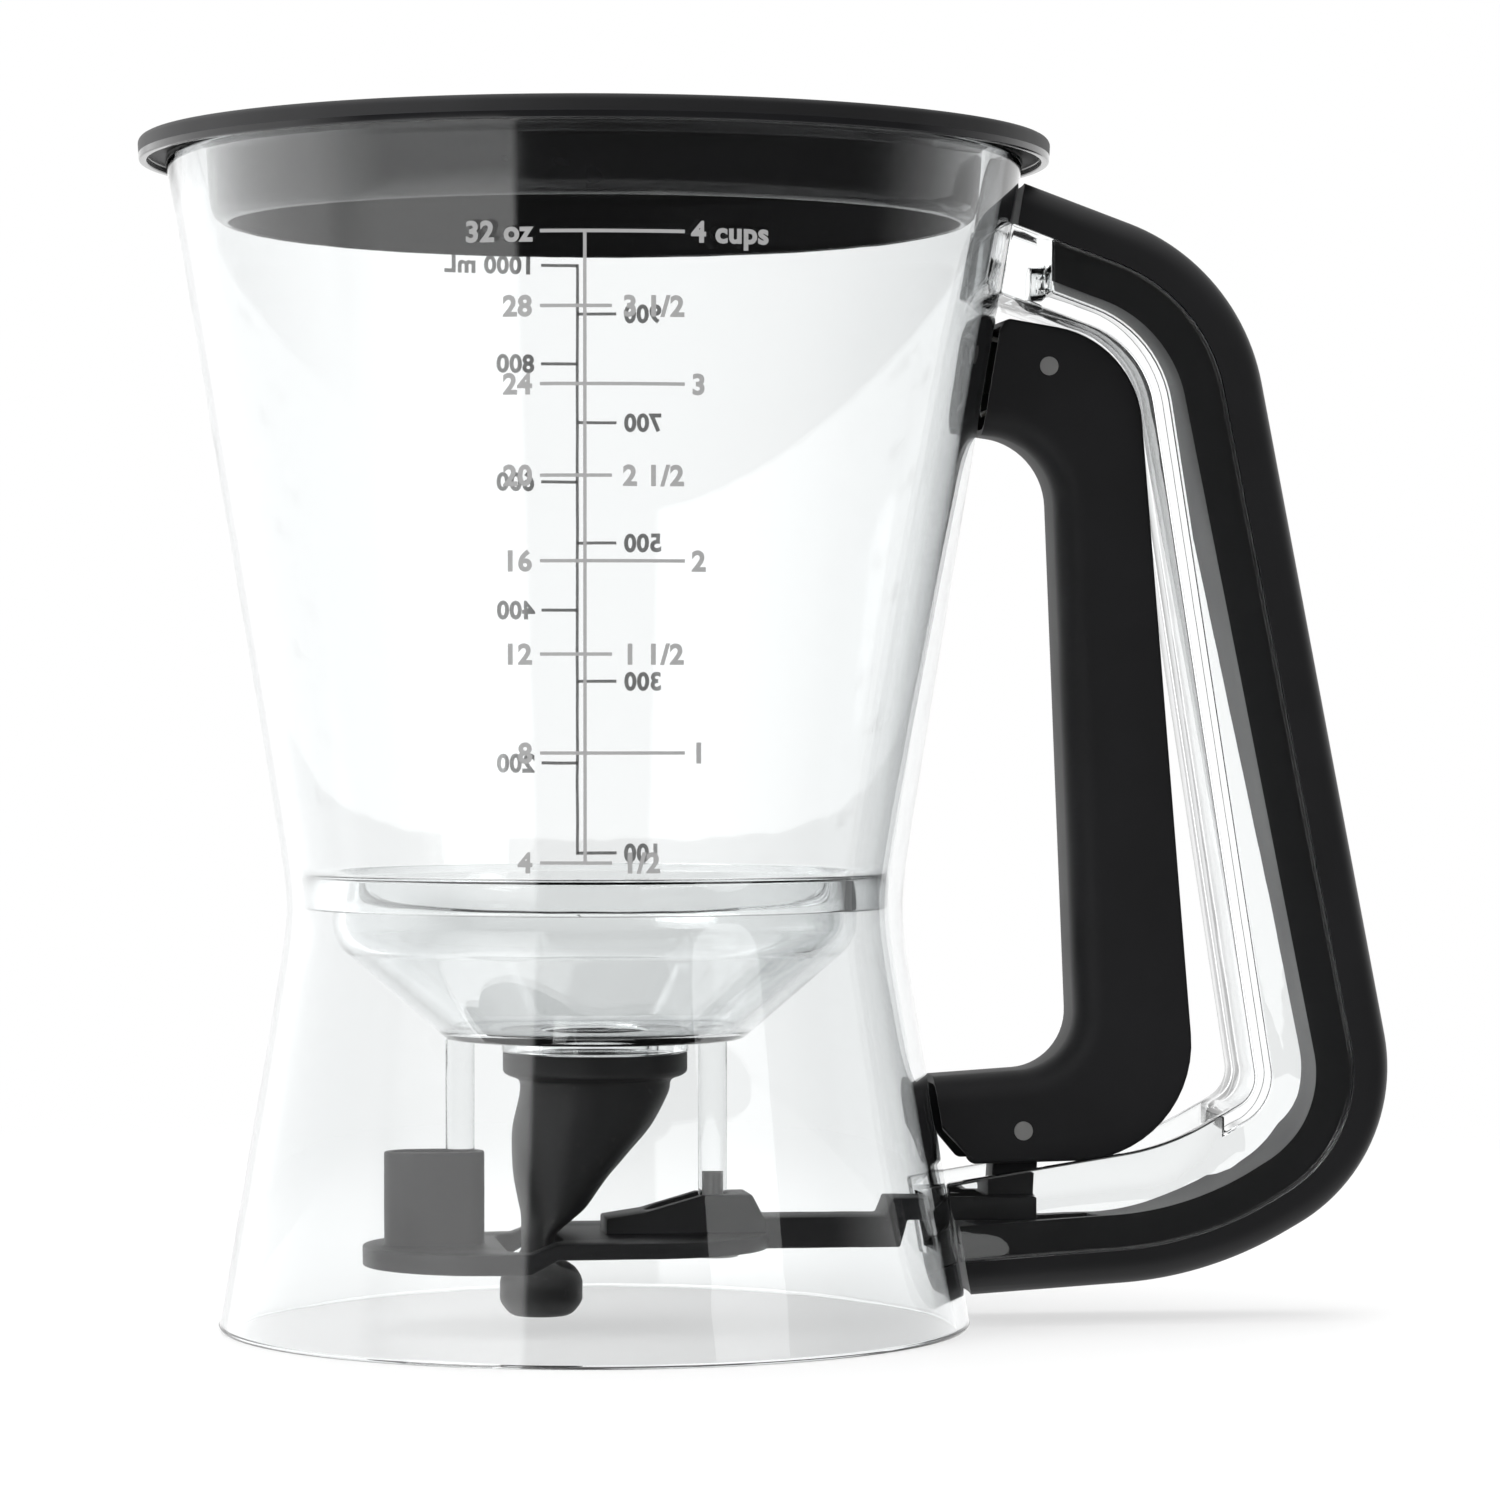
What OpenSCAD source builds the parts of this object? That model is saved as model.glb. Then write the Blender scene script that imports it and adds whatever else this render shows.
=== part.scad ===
// Pancake batter dispenser: a clear jug with a funnel floor, a sprung trigger in
// the handle, and a sliding arm that kinks a soft nozzle shut under the funnel.
// Millimetres. +Z is up, the origin is on the jug's axis in the plane of its foot,
// and the handle points along +X.

/* [Jug] */
// Height of the jug's rim above the table
rim_z = 180.8; // [150:0.5:220]
// Outer radius of the jug at its rim
rim_r = 66.2; // [58:0.5:76]
// Outer radius at the waist
waist_r = 47.7; // [42:0.5:52]
// Height of the waist, where the jug stands on its skirt
waist_z = 65; // [58:0.5:72]
// Softening of the waist, the step in from the two cones
waist_blend = 0.8; // [0.4:0.1:1.6]
// Wall of the jug and of the skirt
wall = 2.3; // [1.8:0.1:3]
// Outer radius of the skirt at its foot
foot_r = 58.1; // [52:0.5:66]

/* [Funnel] */
// Width of the ledge between the bowl and the skirt's wall
ledge_w = 4.75; // [3.5:0.05:9]
// Radius of the flat floor of the bowl
bowl_floor_r = 23; // [20:0.5:26]
// Height of the underside of that floor
bowl_floor_z = 44.5; // [42:0.5:47]
// Drop from the waist to the middle of the bowl's shoulder round
shoulder_drop = 2; // [1:0.1:5]
// Radius of that round, from the bowl's side to its upright rim
shoulder_r = 7; // [4:0.5:9]
// Wall of the bowl
bowl_wall = 2; // [1.5:0.1:2.6]
// Radius of the clear collar under the floor
collar_r = 14.5; // [13:0.5:17]
// Thickness of that collar
collar_t = 2.1; // [1.5:0.1:3]
// Outer radius of the spout that the nozzle is pulled onto
spout_r = 10; // [9.4:0.1:10.6]
// Inner radius of the spout
spout_bore_r = 8.2; // [6:0.1:8.6]
// Length of the spout below the collar
spout_l = 4.4; // [3.6:0.1:5]

/* [Guide posts] */
// Distance of the left post from the axis
left_post_x = 20.95; // [20:0.05:22]
// Distance of the right post from the axis
right_post_x = 18.35; // [18:0.05:20]
// Diameter of a guide post
post_d = 4.5; // [3.5:0.1:5]
// Diameter of a guide screw's washer head
screw_head_d = 8; // [7.5:0.1:9]
// Thickness of that head
screw_head_t = 1.2; // [1:0.1:1.4]
// Diameter of a guide screw's shank
screw_d = 2.2; // [1.8:0.1:2.6]
// Length of that shank
screw_l = 12; // [8:0.5:16]

/* [Lid] */
// Overhang of the lid past the jug's rim
lid_overhang = 4.2; // [2.2:0.1:14]
// Thickness of the lid's plate
lid_t = 2.3; // [1.6:0.1:3]
// Depth of the down-turned lip under the top
lip_h = 2.6; // [2.4:0.1:4]
// Thickness of that lip
lip_t = 1.4; // [1:0.1:2]
// Gap between the jug's wall and the plug's neck
plug_gap = 2.5; // [0.5:0.1:12]
// Step in from the plug's neck to its side
plug_step = 1.8; // [0.5:0.1:4]
// Depth of the plug below the plate
plug_h = 10.8; // [8:0.2:14]
// Wall of the plug
plug_wall = 2; // [1.5:0.1:3]
// Radius of the plug's lower edge
plug_edge_r = 3; // [1:0.2:4]

/* [Handle] */
// Width of the handle across the hand
handle_w = 22; // [20:0.5:26]
// Drop from the jug's rim to where the grip's top line meets the jug
grip_root_drop = 3.4; // [2.6:0.1:12]
// Outer corner at the top of the grip, before rounding: distance from the jug's wall
grip_top_out = 36.76; // [34:0.02:40]
// Drop from the jug's rim to that corner
grip_top_drop = 16; // [13:0.2:19]
// Outer corner at the bottom of the grip: distance from the skirt's foot
grip_low_out = 69.3; // [66:0.1:73]
// Outer corner at the bottom of the grip: height
grip_low_z = 24.9; // [23:0.5:26]
// Where the grip's underside turns level: distance from the skirt's foot
grip_heel_out = 37.3; // [35:0.1:40]
// Where the grip's underside turns level: height
grip_heel_z = 7; // [6.5:0.1:7.5]
// Height of the grip's underside at the skirt
grip_foot_z = 4.6; // [4:0.1:5.2]
// Depth of the black cap over the clear frame
cap_t = 7; // [6:0.1:7.4]
// The same along the handle's underside
cap_low_t = 5.6; // [5:0.1:6]
// Rounding of the cap's long edges
cap_round = 4; // [2:0.5:5]
// Depth of the grip's tongue in the frame's channel
tongue_t = 6; // [4:0.1:6.4]
// The same along the handle's underside
tongue_low_t = 5.4; // [4:0.1:5.6]
// Wall of the frame on each side of the channel
channel_wall = 2.6; // [2:0.1:3]
// Thickness of the frame's web, on the side of the trigger
web_t = 3; // [2:0.1:3.6]
// Depth of the whole handle at its top corner
depth_top = 17.8; // [17.2:0.1:18]
// Depth of the whole handle at its bottom corner
depth_low = 23; // [22.6:0.1:23.2]
// Depth of the whole handle under the trigger's heel
depth_heel = 21.6; // [21.2:0.1:21.8]
// Depth of the whole handle where the trough meets the skirt
depth_foot = 18.1; // [17.6:0.1:18.4]
// Where the tongue and its channel start, past the hinge pin
tongue_out = 0.2; // [0:0.1:6]
// End of the trough: distance from the skirt's foot
trough_out = 39.5; // [38:0.1:41]

/* [Trigger] */
// Width of the trigger
trigger_w = 16; // [14:0.2:16.2]
// Wall of the trigger's shell
trigger_wall = 1.8; // [1.4:0.1:2.2]
// Hinge pin of the trigger: distance from the jug's wall
hinge_out = 9.1225; // [8.8:0.0025:9.8]
// Drop from the jug's rim to the hinge pin
hinge_drop = 32; // [31.2:0.1:32.8]
// Height of the link pin at its middle
link_z = 30.1; // [29.8:0.1:31]
// Diameter of both pins
pin_d = 2.9; // [2.4:0.1:3.2]
// Stroke of the arm when the trigger is squeezed
stroke = 8; // [6:0.1:8.2]
// Width of the hinge lug inside the trigger
lug_w = 4.4; // [4:0.1:4.6]
// Radius of the hinge lug round its pin
lug_r = 4; // [3.2:0.1:4.2]
// Left end of the trigger's head, from the hinge pin
head_left = 6.6; // [6:0.1:7.4]
// Top of the head over the hinge pin
head_top = 7.4; // [7.2:0.1:8]
// Brow at the head's right, from the hinge pin
brow_x = 13.8; // [13:0.1:14.2]
// Height of the brow over the hinge pin
brow_h = 4; // [3.8:0.1:4.4]
// Round of the brow
brow_r = 16; // [12:0.5:17]
// Left end under the head, from the hinge pin
chin_left = 12; // [10:0.1:13]
// Drop of that end under the hinge pin
chin_drop = 10.4; // [9:0.1:12]
// Throat where the head meets the blade, from the hinge pin
throat_x = 1; // [0:0.1:2]
// Drop of the throat under the hinge pin
throat_drop = 12.1; // [11:0.1:13]
// Round of the throat
throat_r = 11; // [8:0.5:12]
// Heel of the trigger's foot, from the link pin
heel_x = 28.2; // [26:0.1:29]
// Drop of the heel under the link pin
heel_drop = 4.4; // [4:0.1:5]
// Round of the heel
heel_r = 18; // [12:0.5:20]
// Lower left corner of the foot, from the link pin
sole_left = 8; // [7:0.1:10]
// Drop of that corner under the link pin
sole_drop = 5.1; // [4.6:0.1:5.6]
// Toe of the foot, from the link pin
toe_left = 14.4; // [12:0.1:15]
// Height of the toe over the link pin
toe_h = 8; // [7:0.1:9]
// Instep, where the foot meets the blade, from the link pin
instep_x = 8.9; // [8:0.1:10]
// Height of the instep over the link pin
instep_h = 9.8; // [9:0.1:11]
// Round of the instep
instep_r = 9; // [7:0.5:10]
// Thickness of the cross ribs between the trigger's cheeks
rib_t = 1.4; // [1:0.1:2]
// Depth of those ribs
rib_depth = 8; // [5:0.5:9]

/* [Trigger spring] */
// Wire of the torsion spring
wire_d = 0.8; // [0.7:0.02:0.84]
// Mean radius of its coil
coil_r = 2.9; // [2.7:0.1:3.2]
// Whole turns of its coil
coil_turns = 2; // [1:1:2]
// Rise of the coil in one turn
coil_pitch = 1.25; // [1.2:0.01:1.3]
// Length of the leg on the trigger
trigger_leg_l = 8; // [6:0.5:8]
// Length of the leg on the jug
jug_leg_l = 11; // [9:0.5:11]

/* [Valve arm] */
// Half width of the arm's plate and ring
arm_half_w = 19.5; // [18:0.5:21]
// Left end of the arm: distance from the axis
arm_left_x = 36; // [35.5:0.5:38]
// Underside of the plate on the left
plate_z = 9.8; // [9.4:0.1:10.2]
// Thickness of that plate
plate_t = 3.1; // [2.4:0.1:3.4]
// Underside of the ring on the right
ring_z = 12; // [11.7:0.1:12.3]
// Thickness of the ring
ring_t = 2.4; // [2:0.1:3]
// Right end of the ring: distance from the axis
ring_right_x = 27; // [26:0.5:30]
// Top of the guide box on the left
box_top_z = 27.3; // [24:0.5:29]
// Wall of the guide box
box_wall = 1.2; // [1:0.1:1.5]
// Width of the guide box
box_w = 9; // [8.5:0.5:11]
// Highest point of the wedge on the right
wedge_top_z = 20.4; // [19.5:0.1:21]
// Lowest point of the wedge, at its toe
wedge_toe_z = 16.9; // [16.2:0.1:17.2]
// Left end of the wedge: distance from the axis
wedge_left_x = 1.3; // [1:0.1:2.5]
// Right end of the wedge at its top: distance from the axis
wedge_right_x = 23.9; // [23.6:0.1:25]
// Width of the wedge
wedge_w = 10; // [9:0.2:12]
// Width of the bar that joins the ring to the tail
bar_w = 9.6; // [8:0.2:10]
// Underside of the bar
bar_z = 12; // [11.8:0.1:12.3]
// Height of the bar
bar_h = 4.8; // [4:0.1:5]
// End of the tail in the handle, past the link pin
tail_out = 2.8; // [2.4:0.1:4]
// Height of the tail
tail_h = 3.4; // [3:0.1:3.6]
// Thickness of the tab that carries the link pin
tab_w = 6; // [5:0.2:8]
// Radius of that tab round its pin
tab_r = 3.6; // [3:0.1:4]
// Height of the tail's underside
tail_z = 16.2; // [16.1:0.1:16.3]
// Left edge of the nozzle's opening: distance from the axis
mouth_left_x = 14.6; // [14.4:0.1:15]
// Right edge of the nozzle's opening: distance from the axis
mouth_right_x = 6.2; // [6:0.1:6.3]
// Half width of that opening
mouth_half_w = 15.5; // [14:0.5:16]

/* [Nozzle] */
// Wall of the nozzle
nozzle_wall = 1.8; // [1.4:0.1:2]
// Radius of the nozzle's flange
flange_r = 14.3; // [13:0.1:14.5]
// Depth of that flange
flange_h = 3.2; // [2.6:0.1:3.6]
// Sideways lean of the nozzle's outlet, to the left
outlet_x = 8.4; // [8.2:0.1:8.6]
// Radius of the outlet's bulb
bulb_r = 6.4; // [6:0.1:6.6]
// Height of the outlet's lower face
outlet_z = 2; // [1.6:0.1:2.4]

/* [Fits] */
// Gap between parts that slide past each other
slide_gap = 0.3; // [0.25:0.01:0.4]
// Gap round a running pin
pin_gap = 0.05; // [0.02:0.01:0.1]
// Gap between parts that are welded or pressed together
weld_gap = 0.05; // [0.02:0.01:0.1]
// Gap between the trigger and the jug
jug_gap = 1; // [0.8:0.1:1.2]

/* [Hidden] */
clear_tint = [0.86, 0.91, 0.93, 0.45];
black = [0.08, 0.08, 0.085];
steel = [0.62, 0.62, 0.64];
$fn = 96;
over = 1;             // how far a cut runs past the face it opens

// ---- shared geometry -------------------------------------------------------

// Point at an angle on a circle, and a run of them
function on_circle(c, r, a) = [c[0] + r * cos(a), c[1] + r * sin(a)];
function arc(c, r, a0, a1, n) = [for (i = [0 : n]) on_circle(c, r, a0 + (a1 - a0) * i / n)];

// Unit vector from p to q, and the same turned a quarter to the right
function dir(p, q) = (q - p) / norm(q - p);
function right_of(d) = [d[1], -d[0]];
function cross2(a, b) = a[0] * b[1] - a[1] * b[0];

// Where the line through p along u meets the line through q along v
function meet(p, u, q, v) = p + u * cross2(q - p, v) / cross2(u, v);

// A closed outline with each corner rounded to its own radius
function corner(a, b, c, r, n) =
    let (u = dir(b, a), v = dir(b, c),
         half = acos(max(-1, min(1, u * v))) / 2,
         centre = b + dir([0, 0], u + v) * r / sin(half),
         p = b + u * r / tan(half), q = b + v * r / tan(half),
         a0 = atan2(p[1] - centre[1], p[0] - centre[0]),
         turn = atan2(cross2(p - centre, q - centre), (p - centre) * (q - centre)))
    r <= 0 ? [b] : arc(centre, r, a0, a0 + turn, n);
function rounded(points, radii, n = 10) =
    [for (i = [0 : len(points) - 1])
        each corner(points[(i + len(points) - 1) % len(points)], points[i],
                    points[(i + 1) % len(points)], radii[i], n)];

// An open line of points moved in by a depth at each end of each stretch
function inset_ends(p, q, depths) =
    let (side = right_of(dir(p, q))) [p + side * depths[0], q + side * depths[1]];
function inset_line(points, depths) =
    let (runs = [for (i = [0 : len(points) - 2]) inset_ends(points[i], points[i + 1], depths[i])],
         last = len(runs) - 1)
    [runs[0][0],
     for (i = [1 : last]) meet(runs[i - 1][0], runs[i - 1][1] - runs[i - 1][0],
                               runs[i][0], runs[i][1] - runs[i][0]),
     runs[last][1]];

// Prism of a flat outline in X and Z, centred on the plane Y = 0
module slab(points, width) {
    rotate([90, 0, 0]) linear_extrude(width, center = true) polygon(points);
}
// Pin or bore along Y at a place in X and Z
module pin(x, z, d, length) {
    translate([x, 0, z]) rotate([90, 0, 0]) cylinder(d = d, h = length, center = true);
}
// Upright block with round ends along X
module obround(x0, x1, width, z0, z1) {
    for (x = [x0 + width / 2, x1 - width / 2])
        translate([x, 0, z0]) cylinder(d = width, h = z1 - z0);
    translate([x0 + width / 2, -width / 2, z0]) cube([x1 - x0 - width, width, z1 - z0]);
}

// ---- jug and skirt ---------------------------------------------------------

// Two cones that meet in a soft waist
axis_r = waist_r - waist_blend;
function slope_to(r, h) = sqrt(pow(r - axis_r, 2) - pow(waist_blend, 2)) / h;
cone_slope = slope_to(rim_r, rim_z - waist_z);
skirt_slope = slope_to(foot_r, waist_z);
function body_r(z) =
    axis_r + sqrt(pow((z > waist_z ? cone_slope : skirt_slope) * (z - waist_z), 2) + pow(waist_blend, 2));

wall_steps = 10;
rim_edge = 0.8;       // rounding of the jug's rim
function wall_line(z_end, inward) =
    [for (i = [0 : wall_steps])
        let (z = waist_z + (z_end - waist_z) * pow(i / wall_steps, 2)) [body_r(z) - inward, z]];
function backwards(list) = [for (i = [len(list) - 1 : -1 : 0]) list[i]];

ledge_h = 5.6;        // depth of the funnel's ledge inside the jug

module jug() color(clear_tint) difference() {
    union() {
        rotate_extrude() polygon([
            each wall_line(rim_z - rim_edge, 0),
            [body_r(rim_z) - rim_edge, rim_z],
            [body_r(rim_z) - wall + rim_edge, rim_z],
            each backwards(wall_line(rim_z - rim_edge, wall))
        ]);
        // lug that carries the trigger's hinge pin
        difference() {
            hinge_lug();
            jug_space(-wall / 2);
        }
    }
    pin(hinge_x, hinge_z, pin_d + 2 * weld_gap, lug_w + over);
}

window_w = bar_w + 4 * slide_gap;
window_z0 = bar_z - 2 * slide_gap;
skirt_edge = 0.5;     // rounding of the skirt's foot

module skirt() color(clear_tint) difference() {
    rotate_extrude() polygon([
        each wall_line(skirt_edge, 0),
        [foot_r - skirt_edge, 0], [foot_r - wall + skirt_edge, 0],
        each backwards(wall_line(skirt_edge, wall))
    ]);
    // window that the arm's bar slides through, up to the top of its tail
    translate([bowl_r, -window_w / 2, window_z0])
        cube([foot_r - bowl_r + over, window_w, tail_z + tail_h + slide_gap - window_z0 + slide_gap]);
}

// ---- funnel bowl -----------------------------------------------------------

ledge_z = waist_z + ledge_h;
ledge_r = min(body_r(waist_z), body_r(ledge_z)) - wall - weld_gap;
bowl_r = ledge_r - ledge_w;
shoulder_x = bowl_r - shoulder_r;
shoulder_z = waist_z - shoulder_drop;
floor_to_shoulder = [shoulder_x - bowl_floor_r, shoulder_z - bowl_floor_z];
bowl_slope = atan2(floor_to_shoulder[1], floor_to_shoulder[0])
    - asin(shoulder_r / norm(floor_to_shoulder));
collar_z = bowl_floor_z - collar_t;
spout_z = collar_z - spout_l;
mouth_chamfer = 3;    // slope from the ledge into the bowl
floor_top_r = bowl_floor_r - bowl_wall * tan(bowl_slope / 2);

module funnel_bowl() color(clear_tint) rotate_extrude() polygon([
    [spout_bore_r, spout_z], [spout_r, spout_z], [spout_r, collar_z],
    [collar_r, collar_z], [collar_r, bowl_floor_z], [bowl_floor_r, bowl_floor_z],
    each arc([shoulder_x, shoulder_z], shoulder_r, bowl_slope - 90, 0, 6),
    [bowl_r, waist_z], [ledge_r, waist_z], [ledge_r, ledge_z],
    [bowl_r - bowl_wall + mouth_chamfer, ledge_z],
    [bowl_r - bowl_wall, ledge_z - mouth_chamfer],
    each arc([shoulder_x, shoulder_z], shoulder_r - bowl_wall, 0, bowl_slope - 90, 6),
    [floor_top_r, bowl_floor_z + bowl_wall], [spout_bore_r, bowl_floor_z + bowl_wall]
]);

// ---- guide posts and their screws -------------------------------------------

left_post_foot = plate_z - slide_gap;
right_post_foot = ring_z - slide_gap;

module guide_post(x, foot_z) translate([x, 0, 0]) difference() {
    translate([0, 0, foot_z]) cylinder(d = post_d, h = bowl_floor_z - foot_z);
    translate([0, 0, foot_z - over]) cylinder(d = screw_d, h = screw_l + over);
}
module left_guide_post() color(clear_tint) guide_post(-left_post_x, left_post_foot);
module right_guide_post() color(clear_tint) guide_post(right_post_x, right_post_foot);

module guide_screw(x, foot_z) translate([x, 0, foot_z]) difference() {
    union() {
        translate([0, 0, -screw_head_t]) cylinder(d = screw_head_d, h = screw_head_t);
        cylinder(d = screw_d, h = screw_l);
    }
    // cross recess
    for (turn = [0, 90]) rotate(turn)
        translate([-screw_head_t * 1.6, -0.4, -screw_head_t - over])
            cube([screw_head_t * 3.2, 0.8, over + screw_head_t / 2]);
}
module guide_screws() color(steel) {
    guide_screw(-left_post_x, left_post_foot);
    guide_screw(right_post_x, right_post_foot);
}

// ---- lid ---------------------------------------------------------------------

lid_seat = 0.1;       // gap under the lid on the jug's rim
lid_z = rim_z + lid_seat;
lid_r = rim_r + lid_overhang;
plug_top_r = rim_r - wall - plug_gap;
plug_r = plug_top_r - plug_step;
plug_neck_h = 2.2;    // depth of the wider neck under the plate
dish = 0.6;           // how far the lid's top lies below its edge
lid_edge = 0.9;       // rounding of the lid's edge
plug_foot_z = lid_z - plug_h;
plug_foot_r = plug_r - 0.6;

module lid() color(black) rotate_extrude() polygon([
    [0, lid_z], [plug_top_r - plug_wall, lid_z],
    [plug_r - plug_wall, lid_z - plug_neck_h],
    [plug_foot_r - plug_wall - plug_edge_r / 2, plug_foot_z + plug_wall / 2],
    [plug_foot_r - plug_wall - plug_edge_r / 2, plug_foot_z],
    each arc([plug_foot_r - plug_edge_r, plug_foot_z + plug_edge_r], plug_edge_r, -90, 0, 5),
    [plug_r, lid_z - plug_neck_h], [plug_top_r, lid_z - plug_neck_h / 2], [plug_top_r, lid_z],
    [lid_r - lip_t, lid_z], [lid_r - lip_t, lid_z + lid_t - lip_h - lid_edge],
    [lid_r, lid_z + lid_t - lip_h - lid_edge + 0.4],
    each arc([lid_r - lid_edge, lid_z + lid_t - lid_edge], lid_edge, 0, 90, 4),
    [lid_r - 3 * lid_edge, lid_z + lid_t], [lid_r - 4 * lid_edge, lid_z + lid_t - dish],
    [0, lid_z + lid_t - dish]
]);

// ---- handle -------------------------------------------------------------------

// Outer line of the grip, from the jug's rim round the hand to the skirt
grip_root_z = rim_z - grip_root_drop;
grip_top_z = rim_z - grip_top_drop;
grip_low_x = foot_r + grip_low_out;
grip_corners = [[body_r(grip_root_z), grip_root_z], [body_r(grip_top_z) + grip_top_out, grip_top_z],
                [grip_low_x, grip_low_z], [foot_r + grip_heel_out, grip_heel_z],
                [body_r(grip_foot_z), grip_foot_z]];
grip_radii = [33, 28, 60];

function even(t, low) = [[t, t], [t, (t + low) / 2], [(t + low) / 2, low], [low, low]];
inner_depths = [[depth_top, depth_top], [depth_top, depth_low],
                [depth_heel, depth_heel], [depth_heel, depth_foot]];

// A line at a depth under the grip's outer line, rounded about the same centres,
// run on a little into the jug at both ends
sink = 9;
function run_on(line) =
    let (n = len(line) - 1)
    [line[0] - dir(line[0], line[1]) * sink,
     for (i = [1 : n - 1]) line[i], line[n] + dir(line[n - 1], line[n]) * sink];
function depth_radii(depths) =
    [for (i = [0 : 2]) max(3, grip_radii[i] - max(depths[i][1], depths[i + 1][0]))];
function round_open(line, radii) =
    [line[0], for (i = [1 : len(line) - 2]) each corner(line[i - 1], line[i], line[i + 1], radii[i - 1], 12),
     line[len(line) - 1]];
function under(depths) = round_open(run_on(inset_line(grip_corners, depths)), depth_radii(depths));
function band(outer_depths, inner_depths) = [each under(outer_depths), each backwards(under(inner_depths))];

cap_depths = even(cap_t, cap_low_t);
tongue_depths = even(cap_t + tongue_t, cap_low_t + tongue_low_t);
channel_w = handle_w - 2 * channel_wall;

// The space that the jug and skirt take up, with a gap round it
module jug_space(gap) rotate_extrude() polygon([
    [0, -over], [body_r(0) + gap, -over],
    each backwards(wall_line(0, -gap)), each wall_line(rim_z, -gap),
    [0, rim_z + over]
]);

// Solid root block over the trigger's head, between the jug and the channel
hinge_z = rim_z - hinge_drop;
hinge_x = body_r(hinge_z) + hinge_out;
root_x = hinge_x + tongue_out;
plug_d = 5;
plug_t = 1.2;
plug_nub_d = 2.4;
plug_nub_l = 1.2;
plug_z = grip_root_z - cap_t - 8.6;

module trough() {
    x0 = waist_r - over;
    x1 = foot_r + trough_out;
    top = grip_foot_z + depth_heel + depth_foot;
    translate([x0, -channel_w / 2, 0]) cube([x1 - x0, channel_w, top]);
}

module hinge_lug() {
    slab([[waist_r, hinge_z - lug_r], [hinge_x, hinge_z - lug_r],
          [hinge_x, hinge_z + lug_r], [waist_r, hinge_z + lug_r]], lug_w);
    pin(hinge_x, hinge_z, 2 * lug_r, lug_w);
}

module handle_frame() color(clear_tint) difference() {
    slab(band(cap_depths, inner_depths), handle_w);
    // channel for the grip's tongue, open outwards
    difference() {
        slab(band(even(cap_t - over, cap_low_t - over),
                  [for (d = inner_depths) [d[0] - web_t, d[1] - web_t]]), channel_w);
        translate([0, -handle_w / 2, hinge_z]) cube([root_x, handle_w, rim_z - hinge_z]);
    }
    trough();
    translate([root_x, 0, plug_z]) rotate([0, -90, 0])
        cylinder(d = plug_d + 2 * weld_gap, h = plug_t + plug_nub_l + weld_gap);
    jug_space(weld_gap);
}

module handle_root_plug() color(clear_tint)
    translate([root_x - plug_nub_l, 0, plug_z]) rotate([0, -90, 0]) {
        cylinder(d = plug_d, h = plug_t);
        translate([0, 0, -plug_nub_l]) cylinder(d = plug_nub_d, h = plug_nub_l);
    }

cap_layers = 4;
module grip() color(black) difference() {
    union() {
        // cap, in layers that round its two long edges
        for (i = [1 : cap_layers]) {
            turn = 90 * (i - 0.5) / cap_layers;
            step = cap_round * (1 - sin(turn));
            slab(band(even(step, step), even(cap_t - weld_gap, cap_low_t - weld_gap)),
                 handle_w - 2 * cap_round * (1 - cos(turn)));
        }
        // tongue in the frame's channel
        intersection() {
            slab(band(even(cap_t - over, cap_low_t - over), tongue_depths), channel_w - 2 * weld_gap);
            slab([[waist_r, 0], [grip_low_x + over, 0], [grip_low_x + over, rim_z],
                  [root_x + weld_gap, rim_z], [root_x + weld_gap, hinge_z / 2], [waist_r, hinge_z / 2]],
                 handle_w);
        }
    }
    // groove under the arm's tail
    translate([waist_r, -bar_w / 2 - slide_gap, tail_z - slide_gap])
        cube([tail_x + stroke + 2 - waist_r, bar_w + 2 * slide_gap, tail_h * 2]);
    jug_space(jug_gap);
}

// ---- trigger --------------------------------------------------------------------

link_x = hinge_x - stroke / 2;
throw = hinge_z - link_z;
swing = 2 * asin(stroke / 2 / norm([stroke / 2, throw]));
link_rise = throw * (1 - cos(swing / 2));

// Side view of the trigger, clockwise from the top left
trigger_corners = [
    [hinge_x - head_left, hinge_z + head_top], [hinge_x + brow_x, hinge_z + brow_h],
    [link_x + heel_x, link_z - heel_drop], [link_x - sole_left, link_z - sole_drop],
    [link_x - toe_left, link_z + toe_h], [link_x + instep_x, link_z + instep_h],
    [hinge_x + throat_x, hinge_z - throat_drop], [hinge_x - chin_left, hinge_z - chin_drop]];
head_r = 1.2;
edge_r = 0.6;
trigger_radii = [head_r, brow_r, heel_r, edge_r, edge_r, instep_r, throat_r, edge_r];

// The hollow: in from the finger's side and the top, and out through the rest
past = 20;            // how far the hollow runs past the trigger's open sides
roof_slope = (head_top - brow_h) / (head_left + brow_x);
hollow_corners = [
    trigger_corners[0] + [-past, past * roof_slope - trigger_wall],
    trigger_corners[1] + [-trigger_wall, trigger_wall * (roof_slope - 1)],
    trigger_corners[1] + [past, -2 * past], trigger_corners[2] + [past, -past],
    trigger_corners[3] + [-past, -past],
    trigger_corners[4] + [-past, -trigger_wall], trigger_corners[5] + [trigger_wall, -trigger_wall],
    trigger_corners[6] + [trigger_wall, trigger_wall], trigger_corners[7] + [-past, trigger_wall]];
hollow_radii = [0, brow_r - trigger_wall, 0, 0, 0, 0, instep_r + trigger_wall, throat_r - trigger_wall, 0];

// Finger's side of the blade at a height
function blade_x(z) =
    let (a = trigger_corners[6], b = trigger_corners[5]) a[0] + (b[0] - a[0]) * (z - a[1]) / (b[1] - a[1]);

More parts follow.
